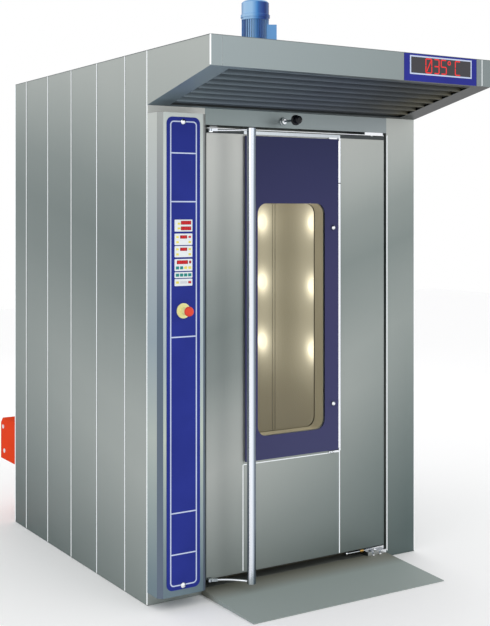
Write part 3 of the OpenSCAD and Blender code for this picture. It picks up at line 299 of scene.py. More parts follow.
def mix_colour(tree, factor, first, second):
    """Mixes two colours, each a socket or plain values, and returns the colour."""
    node = tree.nodes.new("ShaderNodeMix")
    node.data_type = "RGBA"
    tree.links.new(factor, node.inputs[0])
    for slot, value in ((6, first), (7, second)):
        if isinstance(value, tuple):
            node.inputs[slot].default_value = (*value, 1)
        else:
            tree.links.new(value, node.inputs[slot])
    return node.outputs[2]


def product(tree, *factors):
    """All the factors multiplied."""
    total = factors[0]
    for factor in factors[1:]:
        total = math_node(tree, "MULTIPLY", total, factor)
    return total


# Slope, zero and span in t = (z - slope * along - zero) / span.
FACE_BANDS = {"Front": (0.38, 1.295, 0.53), "Side": (0.22, 1.624, 0.82)}
BAND_START, BAND_SPAN = -2.8, 4.5
HOOD_BOX = {"half_width": 0.7493, "front": -1.2393, "back": -0.7005, "top": 2.398}


def sheen_group():
    """Front and Side: place in each face's bands, 0 at t = -2.8 and 1 at t = 1.7. Across: 0 at
    the front's left and 1 at its right. Along: 0 at the sides' front and 1 at their back.
    Sideways: 1 on the side faces. Hood: 1 inside the hood. Down: 1 on faces that look down."""
    group, _, end = new_group("sheet_sheen", {}, ("Front", "Side", "Across", "Along", "Sideways",
                                                  "Hood", "Down"))
    x, y, z = axes_of(group, "Object")
    nx, _, nz = axes_of(group, "Normal")
    for label, along in (("Front", x), ("Side", y)):
        slope, zero, span = FACE_BANDS[label]
        place = math_node(group, "SUBTRACT", z, math_node(group, "MULTIPLY", along, slope))
        place = math_node(group, "DIVIDE", math_node(group, "SUBTRACT", place, zero), span)
        place = math_node(group, "DIVIDE", math_node(group, "ADD", place, -BAND_START), BAND_SPAN)
        join(group, (place, end.inputs[label]))
    for label, axis, start, span in (("Across", x, -0.45, 1.15), ("Along", y, -0.65, 1.50)):
        place = math_node(group, "SUBTRACT", axis, start)
        join(group, (math_node(group, "DIVIDE", place, span, clamp=True), end.inputs[label]))
    sideways = math_node(group, "GREATER_THAN", math_node(group, "ABSOLUTE", nx), 0.5)
    off_middle = math_node(group, "ABSOLUTE", x)
    inside = product(group, math_node(group, "LESS_THAN", off_middle, HOOD_BOX["half_width"]),
                     math_node(group, "GREATER_THAN", y, HOOD_BOX["front"]),
                     math_node(group, "LESS_THAN", y, HOOD_BOX["back"]),
                     math_node(group, "LESS_THAN", z, HOOD_BOX["top"]))
    join(group, (sideways, end.inputs["Sideways"]), (inside, end.inputs["Hood"]),
         (math_node(group, "LESS_THAN", nz, -0.3), end.inputs["Down"]))
    return group


SHEEN = sheen_group()
# For each face, the first and last t of its painted bands, and then its two ends. An end holds its level, its
# rise with t, and (height, place, width) of a bright band, which is a painted reflection, and of a dark band,
# which is painted shade and whose height is negative. Levels and heights are in 0 to 255. The sides' levels
# are lower, so side faces are painted darker than the front.
FACE_ENDS = {
    "Front": (-2.7, 1.6, (187, 17, (46, -1.00, 0.60), (-58, -0.10, 1.20)),
              (152, 26, (18, -0.60, 1.50), (-42, 0.15, 0.60))),
    "Side": (-2.0, 1.2, (153, 16, (20, -1.05, 0.50), (-51, 0.10, 0.60)),
             (137, 33, (26, -1.25, 0.70), (-33, 0.05, 0.55))),
}


def sheet_tone(v):
    """The screen colour of stainless at brightness v: cool where dark, warm where bright."""
    return v, v + 0.10 * (225 - v), v + 0.13 * (185 - v)


def band_stops(first, last, level, rise, *bands):
    """Twelve even ramp stops from t = first to last. Their brightness is level + rise t, and
    each band adds height exp(-((t - place) / width)^2) to it."""
    stops = []
    for t in np.linspace(first, last, 12).tolist():
        v = level + rise * t + sum(h * math.exp(-((t - middle) / w) ** 2) for h, middle, w in bands)
        stops.append(((t - BAND_START) / BAND_SPAN, seen(*sheet_tone(v))))
    return stops


def sheen_painted_steel(name, hood, down):
    """Satin sheet whose colour follows the painted bands of reflection and shade, with a little grain and
    soft clouds.
    """
    mat, tree, shader = material(name, seen(150, 155, 152), 0.42, 0.5)
    place = add_group(tree, SHEEN)
    grain = add_group(tree, GRAIN)
    drift = math_node(tree, "MULTIPLY", math_node(tree, "SUBTRACT", grain.outputs["Clouds"], 0.5), 0.03)
    fleck = math_node(tree, "MULTIPLY", math_node(tree, "SUBTRACT", grain.outputs["Grain"], 0.5), 0.03)
    blur = math_node(tree, "ADD", drift, fleck)
    # Front and side faces get painted bands of their own, and the sides are painted darker.
    lit = []
    for label, mixer in (("Front", "Across"), ("Side", "Along")):
        first, last, *ends = FACE_ENDS[label]
        factor = math_node(tree, "ADD", place.outputs[label], blur)
        both = [colour_ramp(tree, factor, band_stops(first, last, *end)) for end in ends]
        lit.append(mix_colour(tree, place.outputs[mixer], *both))
    colour = mix_colour(tree, place.outputs["Sideways"], *lit)
    # Painted shade: one dark colour inside the hood, and on faces that look down a painted shade that darkens
    # from left to right.
    colour = mix_colour(tree, place.outputs["Hood"], colour, seen(*hood))
    colour = mix_colour(tree, place.outputs["Down"], colour, ramp_along(tree, 0, -0.76, 0.76, down))
    join(tree, (colour, shader.inputs["Base Color"]))
    bump(tree, shader, grain.outputs["Grain"], 0.10, 0.0004)
    return mat


def ramp_along(tree, axis, start, end, stops):
    """Colours along an object axis: each stop is (metres, screen colour)."""
    value = axes_of(tree, "Object")[axis]
    value = math_node(tree, "DIVIDE", math_node(tree, "SUBTRACT", value, start), end - start)
    return colour_ramp(tree, value, [((m - start) / (end - start), seen(*rgb)) for m, rgb in stops])


# %% [markdown]
# ## Other steels
# The same grain with other colours makes the darker floor, the warm chamber walls, the filter's baffles and
# the machined parts; the baffles carry painted light and shade. The hood's fascia and the strip over the door
# have painted light that changes along their length only: the fascia is painted darker towards the right, and
# the strip over the door is painted darker as shade under the hood.

# %% Mix the steels
def steel(name, dark, light, rough, metal=0.85, clouds=1.3):
    """Sheet steel whose colour runs from dark to light, mostly with the clouds."""
    mat, tree, shader = material(name, light, rough, metal)
    node = add_group(tree, GRAIN, Clouds=clouds)
    mix = math_node(tree, "MULTIPLY", node.outputs["Grain"], 0.15)
    mix = math_node(tree, "ADD", mix, math_node(tree, "MULTIPLY", node.outputs["Clouds"], 0.85))
    join(tree, (colour_ramp(tree, mix, [(0.3, dark), (0.7, light)]), shader.inputs["Base Color"]))
    spread = math_node(tree, "MULTIPLY", node.outputs["Grain"], 0.16)
    spread = math_node(tree, "ADD", spread, rough - 0.08)
    join(tree, (spread, shader.inputs["Roughness"]))
    bump(tree, shader, node.outputs["Grain"], 0.12, 0.0004)
    return mat


def graded_steel(name, axis, start, end, stops, rough=0.42, metal=0.85):
    """Sheet steel whose colour changes along one object axis."""
    mat, tree, shader = material(name, seen(*stops[0][1]), rough, metal)
    grain = add_group(tree, GRAIN)
    join(tree, (ramp_along(tree, axis, start, end, stops), shader.inputs["Base Color"]))
    bump(tree, shader, grain.outputs["Grain"], 0.10, 0.0004)
    return mat


def baffle_steel(name):
    """The filter's baffles, with painted light: their walls are painted light and their level parts painted
    in shade. The walls' painted reflections go from blue at the left to brown at the right."""
    mat, tree, shader = material(name, seen(110, 118, 124), 0.4, 0.85)
    _, _, nz = axes_of(tree, "Normal")
    grain = add_group(tree, GRAIN, Across=60.0, Along=4.0, Clouds=6.0)
    x = math_node(tree, "ADD", axes_of(tree, "Object")[0],
                  math_node(tree, "MULTIPLY", grain.outputs["Clouds"], 0.5))
    light = colour_ramp(tree, math_node(tree, "DIVIDE", math_node(tree, "ADD", x, 0.5), 1.5),
                        [(0.0, seen(118, 132, 140)), (0.5, seen(97, 106, 118)),
                         (0.75, seen(92, 97, 101)), (0.95, seen(112, 109, 94))])
    # Faces that look down take the painted shade.
    level = math_node(tree, "LESS_THAN", nz, -0.3)
    colour = mix_colour(tree, level, light, seen(52, 56, 60))
    join(tree, (colour, shader.inputs["Base Color"]))
    bump(tree, shader, grain.outputs["Grain"], 0.10, 0.0004)
    return mat


STEEL = {
    # The colour after the name is the painted shade inside the hood; the list is the painted shade on faces
    # that look down.
    "brushed_stainless": sheen_painted_steel("brushed_stainless", (64, 70, 72),
                                      [(-0.76, (124, 142, 155)), (-0.4, (104, 116, 122)),
                                       (0.4, (58, 61, 60)), (0.76, (42, 45, 44))]),
    # The fascia's colours are painted light: lighter at the left, darker at the right.
    "fascia_steel": graded_steel("fascia_steel", 0, -0.75, 0.75,
                                 [(-0.75, (141, 151, 153)), (0.0, (137, 147, 148)),
                                  (0.75, (131, 140, 141))]),
    "chamber_steel": steel("chamber_steel", seen(150, 140, 118), seen(176, 166, 142), 0.38),
    "floor_steel": steel("floor_steel", (0.20, 0.22, 0.20), (0.28, 0.30, 0.28), 0.5, 0.7, clouds=4.0),
    "filter_steel": baffle_steel("filter_steel"),
    "galvanised": steel("galvanised", (0.34, 0.36, 0.37), (0.50, 0.52, 0.53), 0.45, 0.8, clouds=18.0),
    "machined_steel": steel("machined_steel", (0.40, 0.40, 0.41), (0.56, 0.56, 0.57), 0.3, 1.0),
    "exchanger_steel": steel("exchanger_steel", (0.20, 0.15, 0.13), (0.42, 0.34, 0.27), 0.5),
    "chain_steel": steel("chain_steel", (0.03, 0.03, 0.03), (0.10, 0.10, 0.10), 0.35, 0.9),
}
print("steels", len(STEEL))

# %% [markdown]
# ## Paint, plastic and printed film
# Paint and film are smooth coats: a plain base colour with slight unevenness in the gloss.
# One group gives that unevenness: fine orange peel for the bump and soft smudges for the
# roughness.

# %% Make the coat group and the coated finishes
def coat_group():
    """Peel: fine noise, Size bumps per metre. Smudge: large soft noise for the gloss."""
    group, start, end = new_group("coat_surface", {"Size": 500.0}, ("Peel", "Smudge"))
    coords = group.nodes.new("ShaderNodeTexCoord")
    peel = group.nodes.new("ShaderNodeTexNoise")
    smudge = group.nodes.new("ShaderNodeTexNoise")
    smudge.inputs["Scale"].default_value = 5.0
    join(group, (coords.outputs["Object"], peel.inputs["Vector"]),
         (coords.outputs["Object"], smudge.inputs["Vector"]),
         (start.outputs["Size"], peel.inputs["Scale"]),
         (peel.outputs["Fac"], end.inputs["Peel"]), (smudge.outputs["Fac"], end.inputs["Smudge"]))
    return group


COAT = coat_group()


def coated(name, colour, rough, vary=0.12, size=500.0, lift=0.05, metal=0.0, coat=0.0, gloss=0.5):
    """A painted or moulded finish: colour varies by vary, roughness by a smudge. In a white
    room a dark finish needs a low gloss, or the room's reflection washes it out."""
    mat, tree, shader = material(name, colour, rough, metal)
    shader.inputs["Specular IOR Level"].default_value = gloss
    node = add_group(tree, COAT, Size=size)
    low = tuple(c * (1 - vary) for c in colour)
    high = tuple(min(1.0, c * (1 + vary)) for c in colour)
    join(tree, (colour_ramp(tree, node.outputs["Smudge"], [(0.3, low), (0.7, high)]),
                shader.inputs["Base Color"]))
    smear = math_node(tree, "MULTIPLY", node.outputs["Smudge"], 0.15)
    join(tree, (math_node(tree, "ADD", smear, rough - 0.07), shader.inputs["Roughness"]))
    shader.inputs["Coat Weight"].default_value = coat
    bump(tree, shader, node.outputs["Peel"], lift, 0.0004)
    return mat


COATED = {
    "label_blue": coated("label_blue", (0.024, 0.036, 0.250), 0.45, 0.08, gloss=0.03),
    "display_blue": coated("display_blue", (0.016, 0.022, 0.24), 0.35, 0.10, gloss=0.15),
    "module_plastic": coated("module_plastic", seen(224, 230, 232), 0.45, 0.04),
    "display_frame": coated("display_frame", seen(190, 202, 228), 0.35, 0.05),
    "stop_yellow": coated("stop_yellow", seen(232, 228, 160), 0.35, 0.05, gloss=0.3),
    "stop_red": coated("stop_red", seen(222, 62, 34), 0.28, 0.05, coat=0.2, gloss=0.3),
    "burner_red": coated("burner_red", seen(220, 70, 38), 0.5, 0.05, gloss=0.0),
    "gear_blue": coated("gear_blue", (0.005, 0.045, 0.20), 0.30, 0.12, 260.0, 0.15, gloss=0.3),
    "black_plastic": coated("black_plastic", (0.006, 0.007, 0.010), 0.25, 0.2, gloss=0.25),
    "seal_rubber": coated("seal_rubber", (0.03, 0.03, 0.032), 0.7, 0.2, 900.0, 0.3),
    "rock_wool": coated("rock_wool", (0.38, 0.34, 0.19), 0.95, 0.3, 90.0, 1.0),
}

# Polished round pieces are painted light on the side that looks in one fixed level direction,
# and dark by their edges. It is 32 degrees left of straight ahead, which is also the side that
# the photograph was taken from. The motors' shine runs from left to right, square to it.
LIGHT_TURN = math.radians(32)
LIGHT_SIDE = (-math.sin(LIGHT_TURN), -math.cos(LIGHT_TURN), 0.0)
RIGHT_SIDE = (math.cos(LIGHT_TURN), -math.sin(LIGHT_TURN), 0.0)


def normal_along(tree, direction):
    """The part of the object normal that lies along a direction, from -1 to 1."""
    coords = tree.nodes.new("ShaderNodeTexCoord")
    dot = vector_node(tree, "DOT_PRODUCT", 1, direction)
    tree.links.new(coords.outputs["Normal"], dot.inputs[0])
    return dot.outputs["Value"]


def facing(tree):
    """How squarely a face looks to the light side or away from it, 0 to 1."""
    return math_node(tree, "ABSOLUTE", normal_along(tree, LIGHT_SIDE))


def left_to_right(tree):
    """0 for a face that looks to the left side and 1 for one that looks to the right side."""
    half = math_node(tree, "MULTIPLY", normal_along(tree, RIGHT_SIDE), 0.5)
    return math_node(tree, "ADD", half, 0.5)


def motor_paint(name, stops, top):
    """Glossy blue paint with painted light: its painted highlights and shade change round the motor, and
    upward faces are painted pale, as lit from above.
    """
    mat, tree, shader = material(name, seen(*stops[0][1]), 0.25)
    shader.inputs["Specular IOR Level"].default_value = 0.3
    round_light = colour_ramp(tree, left_to_right(tree), [(place, seen(*rgb)) for place, rgb in stops])
    _, _, nz = axes_of(tree, "Normal")
    upward = math_node(tree, "GREATER_THAN", nz, 0.3)
    join(tree, (mix_colour(tree, upward, round_light, seen(*top)), shader.inputs["Base Color"]))
    node = add_group(tree, COAT, Size=260.0)
    bump(tree, shader, node.outputs["Peel"], 0.15, 0.0004)
    return mat


def polished(name, stops, across=False):
    """Bright metal with a painted reflection that runs from dark edges to a light middle or, across, from
    left to right.
    """
    mat, tree, shader = material(name, seen(200, 205, 208), 0.2, 1.0)
    factor = left_to_right(tree) if across else facing(tree)
    join(tree, (colour_ramp(tree, factor, [(place, seen(*rgb)) for place, rgb in stops]),
                shader.inputs["Base Color"]))
    node = add_group(tree, COAT, Size=300.0)
    smear = math_node(tree, "MULTIPLY", node.outputs["Smudge"], 0.08)
    join(tree, (math_node(tree, "ADD", smear, 0.16), shader.inputs["Roughness"]))
    return mat


def column_painted_light(name, face, corner, side):
    """The column's paint with painted light and shade: its face, its bent corners and its sides each change
    colour with height, the corners painted darkest, and the object normal tells which of them a point is on."""
    mat, tree, shader = material(name, seen(180, 190, 188), 0.42, 0.6)
    nx, _, _ = axes_of(tree, "Normal")
    turn = math_node(tree, "ABSOLUTE", nx)
    ramps = [ramp_along(tree, 2, 0.0, 2.4, stops) for stops in (face, corner, side)]
    bent = math_node(tree, "GREATER_THAN", turn, 0.15)
    flat = math_node(tree, "GREATER_THAN", turn, 0.96)
    colour = mix_colour(tree, flat, mix_colour(tree, bent, ramps[0], ramps[1]), ramps[2])
    join(tree, (colour, shader.inputs["Base Color"]))
    node = add_group(tree, COAT)
    bump(tree, shader, node.outputs["Peel"], 0.05, 0.0004)
    return mat


# Painted reflection: dark at the edges, white where a face looks to the light side.
COATED["polished_steel"] = polished("polished_steel", [
    (0.0, (112, 118, 122)), (0.45, (122, 130, 136)), (0.62, (186, 194, 202)),
    (0.80, (236, 240, 246)), (0.92, (252, 253, 255)), (1.0, (246, 249, 252))])
# The motors' painted highlights and shade from their left side to their right, and last the pale colour
# painted on upward faces.
COATED["motor_blue"] = motor_paint("motor_blue", [
    (0.0, (50, 118, 180)), (0.09, (164, 202, 238)), (0.38, (146, 190, 230)), (0.55, (70, 138, 204)),
    (0.62, (34, 98, 170)), (0.70, (12, 72, 146)), (0.78, (5, 58, 136)), (0.86, (0, 44, 112)),
    (0.94, (38, 80, 142)), (1.0, (16, 48, 104))], (100, 152, 202))
# Painted light and shade by height for the column's face, its bent corners and its sides.
COATED["column_paint"] = column_painted_light(
    "column_paint",
    [(0.10, (112, 131, 140)), (0.40, (150, 166, 168)), (0.73, (188, 199, 187)),
     (1.07, (166, 181, 186)), (1.58, (190, 201, 201)), (2.05, (190, 198, 195))],
    [(0.10, (99, 111, 128)), (0.90, (93, 106, 120)), (1.24, (92, 106, 120)),
     (1.58, (116, 123, 133)), (2.10, (150, 154, 152))],
    [(0.10, (109, 130, 140)), (0.40, (143, 158, 159)), (0.73, (170, 180, 175)),
     (1.15, (140, 156, 165)), (1.58, (159, 170, 176)), (2.10, (187, 192, 188))])


def clear_glass(name, colour):
    """Window glass: see-through, with the tint on the shader's own socket."""
    mat, tree, shader = material(name, colour, 0.03)
    shader.inputs["Transmission Weight"].default_value = 1.0
    shader.inputs["IOR"].default_value = 1.1
    node = add_group(tree, COAT, Size=3.0)
    smear = math_node(tree, "MULTIPLY", node.outputs["Smudge"], 0.05)
    join(tree, (math_node(tree, "ADD", smear, 0.03), shader.inputs["Roughness"]))
    return mat


def glowing(name, colour, base):
    """A finish that gives light of its own, a little brighter in places."""
    mat, tree, shader = material(name, base, 0.4)
    node = add_group(tree, COAT, Size=40.0)
    dim = tuple(c * 0.8 for c in colour)
    join(tree, (colour_ramp(tree, node.outputs["Peel"], [(0.2, dim), (0.8, colour)]),
                shader.inputs["Emission Color"]))
    shader.inputs["Emission Strength"].default_value = 1.0
    return mat


def printed_blue_painted_light(name, stops):
    """Glass printed dark blue on its back, with painted light: deep at the top, painted paler at the foot."""
    mat, tree, shader = material(name, seen(*stops[0][1]), 0.10)
    shader.inputs["Specular IOR Level"].default_value = 0.15
    join(tree, (ramp_along(tree, 2, 0.0, 2.4, stops), shader.inputs["Base Color"]))
    node = add_group(tree, COAT, Size=3.0)
    smear = math_node(tree, "MULTIPLY", node.outputs["Smudge"], 0.05)
    join(tree, (math_node(tree, "ADD", smear, 0.08), shader.inputs["Roughness"]))
    return mat


# The lamps' middles on the chamber wall: metres along Y, and up.
LAMP_LOW, LAMP_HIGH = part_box("chamber_lamps")
LAMP_R = 0.042
LAMP_SPOTS = [(y, z) for y in (LAMP_LOW.y + LAMP_R, LAMP_HIGH.y - LAMP_R)
              for z in np.linspace(LAMP_LOW.z + LAMP_R, LAMP_HIGH.z - LAMP_R, 3)]
WALL_X = LAMP_HIGH.x
HALOS = ((0.060, 1.5), (0.17, 0.40))


def lit_wall(name, stops):
    """The chamber wall that holds the lamps: it glows by height, and round each lamp with
    two halos, power exp(-(r / width)^2), of the distance r to the lamp."""
    mat, tree, shader = material(name, seen(120, 112, 96), 0.4, 0.6)
    coords = tree.nodes.new("ShaderNodeTexCoord")
    halo = 0.0
    for y, z in LAMP_SPOTS:
        away = vector_node(tree, "DISTANCE", 1, (WALL_X, y, z))
        tree.links.new(coords.outputs["Object"], away.inputs[0])
        for width, power in HALOS:
            ratio = math_node(tree, "DIVIDE", away.outputs["Value"], width)
            fade = math_node(tree, "EXPONENT", math_node(tree, "MULTIPLY", product(tree, ratio, ratio), -1.0))
            halo = math_node(tree, "ADD", math_node(tree, "MULTIPLY", fade, power), halo)
    base = ramp_along(tree, 2, 0.0, 2.4, stops)
    grain = add_group(tree, GRAIN, Across=120.0, Clouds=3.0)
    drift = math_node(tree, "ADD", math_node(tree, "MULTIPLY", grain.outputs["Clouds"], 0.35), 0.82)
    level = vector_node(tree, "SCALE")
    shine = vector_node(tree, "SCALE", 0, (1.0, 0.90, 0.70))
    total = vector_node(tree, "ADD")
    join(tree, (base, level.inputs[0]), (drift, level.inputs["Scale"]), (halo, shine.inputs["Scale"]),
         (level.outputs[0], total.inputs[0]), (shine.outputs[0], total.inputs[1]),
         (total.outputs[0], shader.inputs["Emission Color"]))
    shader.inputs["Emission Strength"].default_value = 0.75
    return mat


OTHER = {
    "clear_glass": clear_glass("clear_glass", (0.96, 0.97, 0.94)),
    # The pane's blue is painted paler towards the foot: painted light.
    "blue_glass": printed_blue_painted_light("blue_glass", [(0.55, (62, 64, 102)), (0.75, (60, 61, 100)),
                                              (1.4, (57, 57, 96)), (2.05, (45, 49, 90))]),
    "lamp_glass": lit_wall("lamp_glass", [(0.3, (150, 140, 120)), (1.9, (150, 140, 120))]),
}
FINISH = {**STEEL, **COATED, **OTHER}
SPECIAL = {
    # The strip over the door is painted darker than the casing, as shade under the hood.
    "header_panel": graded_steel("header_painted_shade", 0, -0.75, 0.75, [
        (-0.75, (142, 154, 153)), (-0.2, (145, 156, 157)), (0.75, (148, 156, 159))]),
    # The ramp is painted darker and browner near the door: painted shade, the door's dark foot reflected in
    # it.
    "ramp": graded_steel("ramp_painted_shade", 1, -1.25, -0.72, [
        (-1.25, (144, 154, 151)), (-0.86, (149, 160, 157)), (-0.78, (130, 133, 125)),
        (-0.72, (106, 107, 96))], 0.6, 0.0),
    "return_panel": lit_wall("lit_wall", [(0.3, (128, 121, 103)), (0.6, (140, 131, 112)),
                                          (1.0, (148, 139, 118)), (1.5, (147, 138, 117)),
                                          (1.9, (152, 140, 116))]),
    # The handle is painted with a reflection: light towards its left side and dark on its right.
    "door_handle": polished("handle_painted_shine", [
        (0.0, (150, 158, 170)), (0.12, (165, 170, 180)), (0.22, (225, 230, 236)), (0.35, (242, 245, 250)),
        (0.60, (236, 242, 250)), (0.72, (190, 200, 212)), (0.82, (120, 130, 142)), (1.0, (108, 118, 130))],
        across=True),
}

# %% [markdown]
# ## Dress the frame
# Each solid names a slot in the record, and each slot now has a finish. Four solids have a finish of their
# own: the strip over the door, painted darker as shade under the hood; the ramp, painted in shade near the
# door; the lit chamber wall, which glows with painted light round the lamps; and the handle, painted with a
# reflection across it.
# The frame's meshes are left as they are: only their material changes.

# %% Give each frame node its finish
SLOT_OF = {part["node"]: part["material_slot"] for part in frame["record"]["subparts"]}
for name, obj in nodes.items():
    obj.data.materials.clear()
    obj.data.materials.append(SPECIAL.get(name, FINISH[SLOT_OF[name]]))
print("dressed", len(nodes), "nodes")

# %% [markdown]
# ## Tools for the new pieces
# A new piece is a surface worked out with arrays. Three shapes cover almost all of them: a
# plate (an outline with round corners, stacked back to front with a bevel), a turned piece (a
# profile round an axis) and a bar (a circle carried along a path).

# %% Write the mesh tools
def add_piece(name, points, faces, slot, body="casing", finish=None):
    """Makes a mesh object at the origin from an (N, 3) array of metres and face tuples."""
    mesh = bpy.data.meshes.new(name)
    mesh.from_pydata(np.asarray(points).tolist(), [], faces)
    mesh.materials.append(finish or FINISH[slot])
    mesh.validate()
    obj = bpy.data.objects.new(name, mesh)
    SCENE_OBJECTS.link(obj)
    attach(obj, body)
    return obj


def outline(w, h, r, corner=6):
    """Points round a w by h rectangle centred on the origin, with corners of radius r: each
    corner is a quarter turn of a circle about its own centre."""
    r = max(min(r, w / 2, h / 2), 1e-6)
    turn = np.linspace(0, math.pi / 2, corner + 1)
    rounds = []
    for k, (sx, sy) in enumerate(((1, 1), (-1, 1), (-1, -1), (1, -1))):
        angle = turn + k * math.pi / 2
        centre = np.array([sx * (w / 2 - r), sy * (h / 2 - r)])
        rounds.append(centre + r * np.stack([np.cos(angle), np.sin(angle)], 1))
    return np.concatenate(rounds)


def ring_faces(count, rings, closed=False):
    """Quads between neighbouring rings of count points each."""
    i = np.arange(count)
    j = (i + 1) % count
    rows = np.arange(rings if closed else rings - 1)[:, None]
    upper = (rows + 1) % rings
    quads = np.stack([rows * count + i, rows * count + j, upper * count + j, upper * count + i], -1)
    return [tuple(q) for q in quads.reshape(-1, 4).tolist()]


def capped_faces(count, rings):
    """The quads of a stack of rings, and a flat face on each of its ends."""
    ends = [tuple(range(count))[::-1], tuple(range((rings - 1) * count, rings * count))]
    return ring_faces(count, rings) + ends


def stood(points, y):
    """Outline points (x, z) as points in space at the depth y."""
    return np.stack([points[:, 0], np.full(len(points), y), points[:, 1]], 1)


def plate_arrays(centre, w, h, t, r=0.0, bevel=0.0004):
    """A plate in the X-Z plane whose back is at centre: rings go back, front edge, and front
    inset by the bevel, and two flat faces close it. All in metres."""
    rings = [(outline(w, h, r), 0.0), (outline(w, h, r), -(t - bevel)),
             (outline(w - 2 * bevel, h - 2 * bevel, r - bevel), -t)]
    points = [stood(o, y) for o, y in rings]
    return np.concatenate(points) + centre, capped_faces(len(points[0]), len(rings))


def merge(parts):
    """Joins (points, faces) pairs into one pair, moving each face's numbers along."""
    offsets = np.cumsum([0] + [len(p) for p, _ in parts])
    faces = [tuple(v + o for v in face) for (_, fs), o in zip(parts, offsets) for face in fs]
    return np.concatenate([p for p, _ in parts]), faces


def band_arrays(centre, w, h, line, t, r):
    """A frame of the given line width round a w by h rectangle: rings outer back, outer front,
    inner front, inner back, closed on itself."""
    inner = outline(w - 2 * line, h - 2 * line, max(r - line, 0.0003))
    outer = outline(w, h, r)
    rings = [(outer, 0.0), (outer, -t), (inner, -t), (inner, 0.0)]
    points = [stood(o, y) for o, y in rings]
    return np.concatenate(points) + centre, ring_faces(len(outer), len(rings), closed=True)


def turned_arrays(centre, profile, axis="y", sides=32):
    """A profile of (radius, distance) pairs turned about an axis; distance runs along it
    towards minus Y, or up along Z."""
    profile = np.asarray(profile, float)
    angle = np.linspace(0, 2 * math.pi, sides, endpoint=False)
    radius, along = profile[:, 0][:, None], profile[:, 1][:, None]
    u, v, w = radius * np.cos(angle), radius * np.sin(angle), along + 0 * angle
    stack = np.stack([u, -w, v], -1) if axis == "y" else np.stack([u, v, w], -1)
    return stack.reshape(-1, 3) + centre, capped_faces(sides, len(profile))


def bar_arrays(path, radius, sides=16):
    """A round bar: at each point of the path, a circle square to the path's direction."""
    path = np.asarray(path, float)
    ahead = np.gradient(path, axis=0)
    ahead /= np.linalg.norm(ahead, axis=1)[:, None]
    seed = np.array([0.31, 0.17, 0.93]) if abs(ahead[0][2]) < 0.9 else np.array([0.93, 0.17, 0.31])
    side = np.cross(ahead, seed)
    side /= np.linalg.norm(side, axis=1)[:, None]
    up = np.cross(ahead, side)
    angle = np.linspace(0, 2 * math.pi, sides, endpoint=False)
    circle = side[:, None] * np.cos(angle)[:, None] + up[:, None] * np.sin(angle)[:, None]
    points = path[:, None] + radius * circle
    return points.reshape(-1, 3), capped_faces(sides, len(path))


def fix_normals(obj):
    """Turns all faces of a closed piece outwards."""
    work = bmesh.new()
    work.from_mesh(obj.data)
    bmesh.ops.recalc_face_normals(work, faces=work.faces)
    work.to_mesh(obj.data)
    work.free()
    return obj


def make(name, parts, slot, body="casing", finish=None):
    """Merges the parts' arrays into one piece with its faces outwards."""
    points, faces = merge(parts)
    return fix_normals(add_piece(name, points, faces, slot, body, finish))


print("mesh tools ready")

# %% [markdown]
# ## The door's glass
# The big pane is clear glass printed dark blue on its back, all but the window; the print is painted paler
# towards the foot as light. Two pieces make it: a printed frame, which is the pane with a window-shaped hole,
# and the clear part in the hole, half as thick as the pane. A thin sleeve lines the hole through the door; it
# glows with painted light, brighter higher up.

# %% Make the pane
glass_low, glass_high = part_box("outer_glass")
WINDOW_W, WINDOW_H, WINDOW_R = 0.379, 1.067, 0.047
WINDOW_FOOT = 673
window_mid = at(748.5, 0, WINDOW_FOOT + WINDOW_H / MM / 2)


def pane_with_hole(y_front, y_back):
    """A rectangle with a round-cornered hole: each point of the hole's outline is paired with
    the point of the rectangle that the same corner reaches, and a wall goes round both."""
    hole = outline(WINDOW_W, WINDOW_H, WINDOW_R, 8)
    low = np.array([glass_low.x - window_mid[0], glass_low.z - window_mid[2]])
    high = np.array([glass_high.x - window_mid[0], glass_high.z - window_mid[2]])
    rim = np.where(hole > 0, high, low)
    rings = [(rim, y_back), (rim, y_front), (hole, y_front), (hole, y_back)]
    points = np.concatenate([stood(o, y) for o, y in rings])
    return points + window_mid * (1, 0, 1), ring_faces(len(hole), len(rings), closed=True)


blue_pane = make("printed_glass", [pane_with_hole(glass_low.y, glass_high.y)], "blue_glass",
                 "glass_leaf")
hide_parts("outer_glass")
clear = plate_arrays(window_mid * (1, 0, 1) + (0, glass_high.y - 0.001, 0), WINDOW_W, WINDOW_H, 0.003,
                     WINDOW_R)
make("window_glass", [clear], "clear_glass", "glass_leaf")

sleeve = outline(WINDOW_W + 0.004, WINDOW_H + 0.004, WINDOW_R, 8)
sleeve_y = (FRONT + 0.002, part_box("inner_glass")[0].y)
sleeve_points = np.concatenate([stood(sleeve, y) for y in sleeve_y]) + window_mid * (1, 0, 1)
# The sleeve glows with painted light, brighter higher up.
lining = add_piece("window_lining", sleeve_points, ring_faces(len(sleeve), 2), "chamber_steel", "door",
                   finish=lit_wall("lining_painted_glow", [(0.6, (134, 126, 104)), (1.0, (150, 141, 117)),
                                                    (1.4, (155, 146, 122)), (1.8, (160, 149, 124))]))
solid = lining.modifiers.new("sheet", "SOLIDIFY")
solid.thickness = 0.002
solid.offset = 0

# %% [markdown]
# ## Printed lines on the column
# A pale line runs round the blue label, and five more divide it into fields. They are thin
# raised bands, 0.4 mm proud.

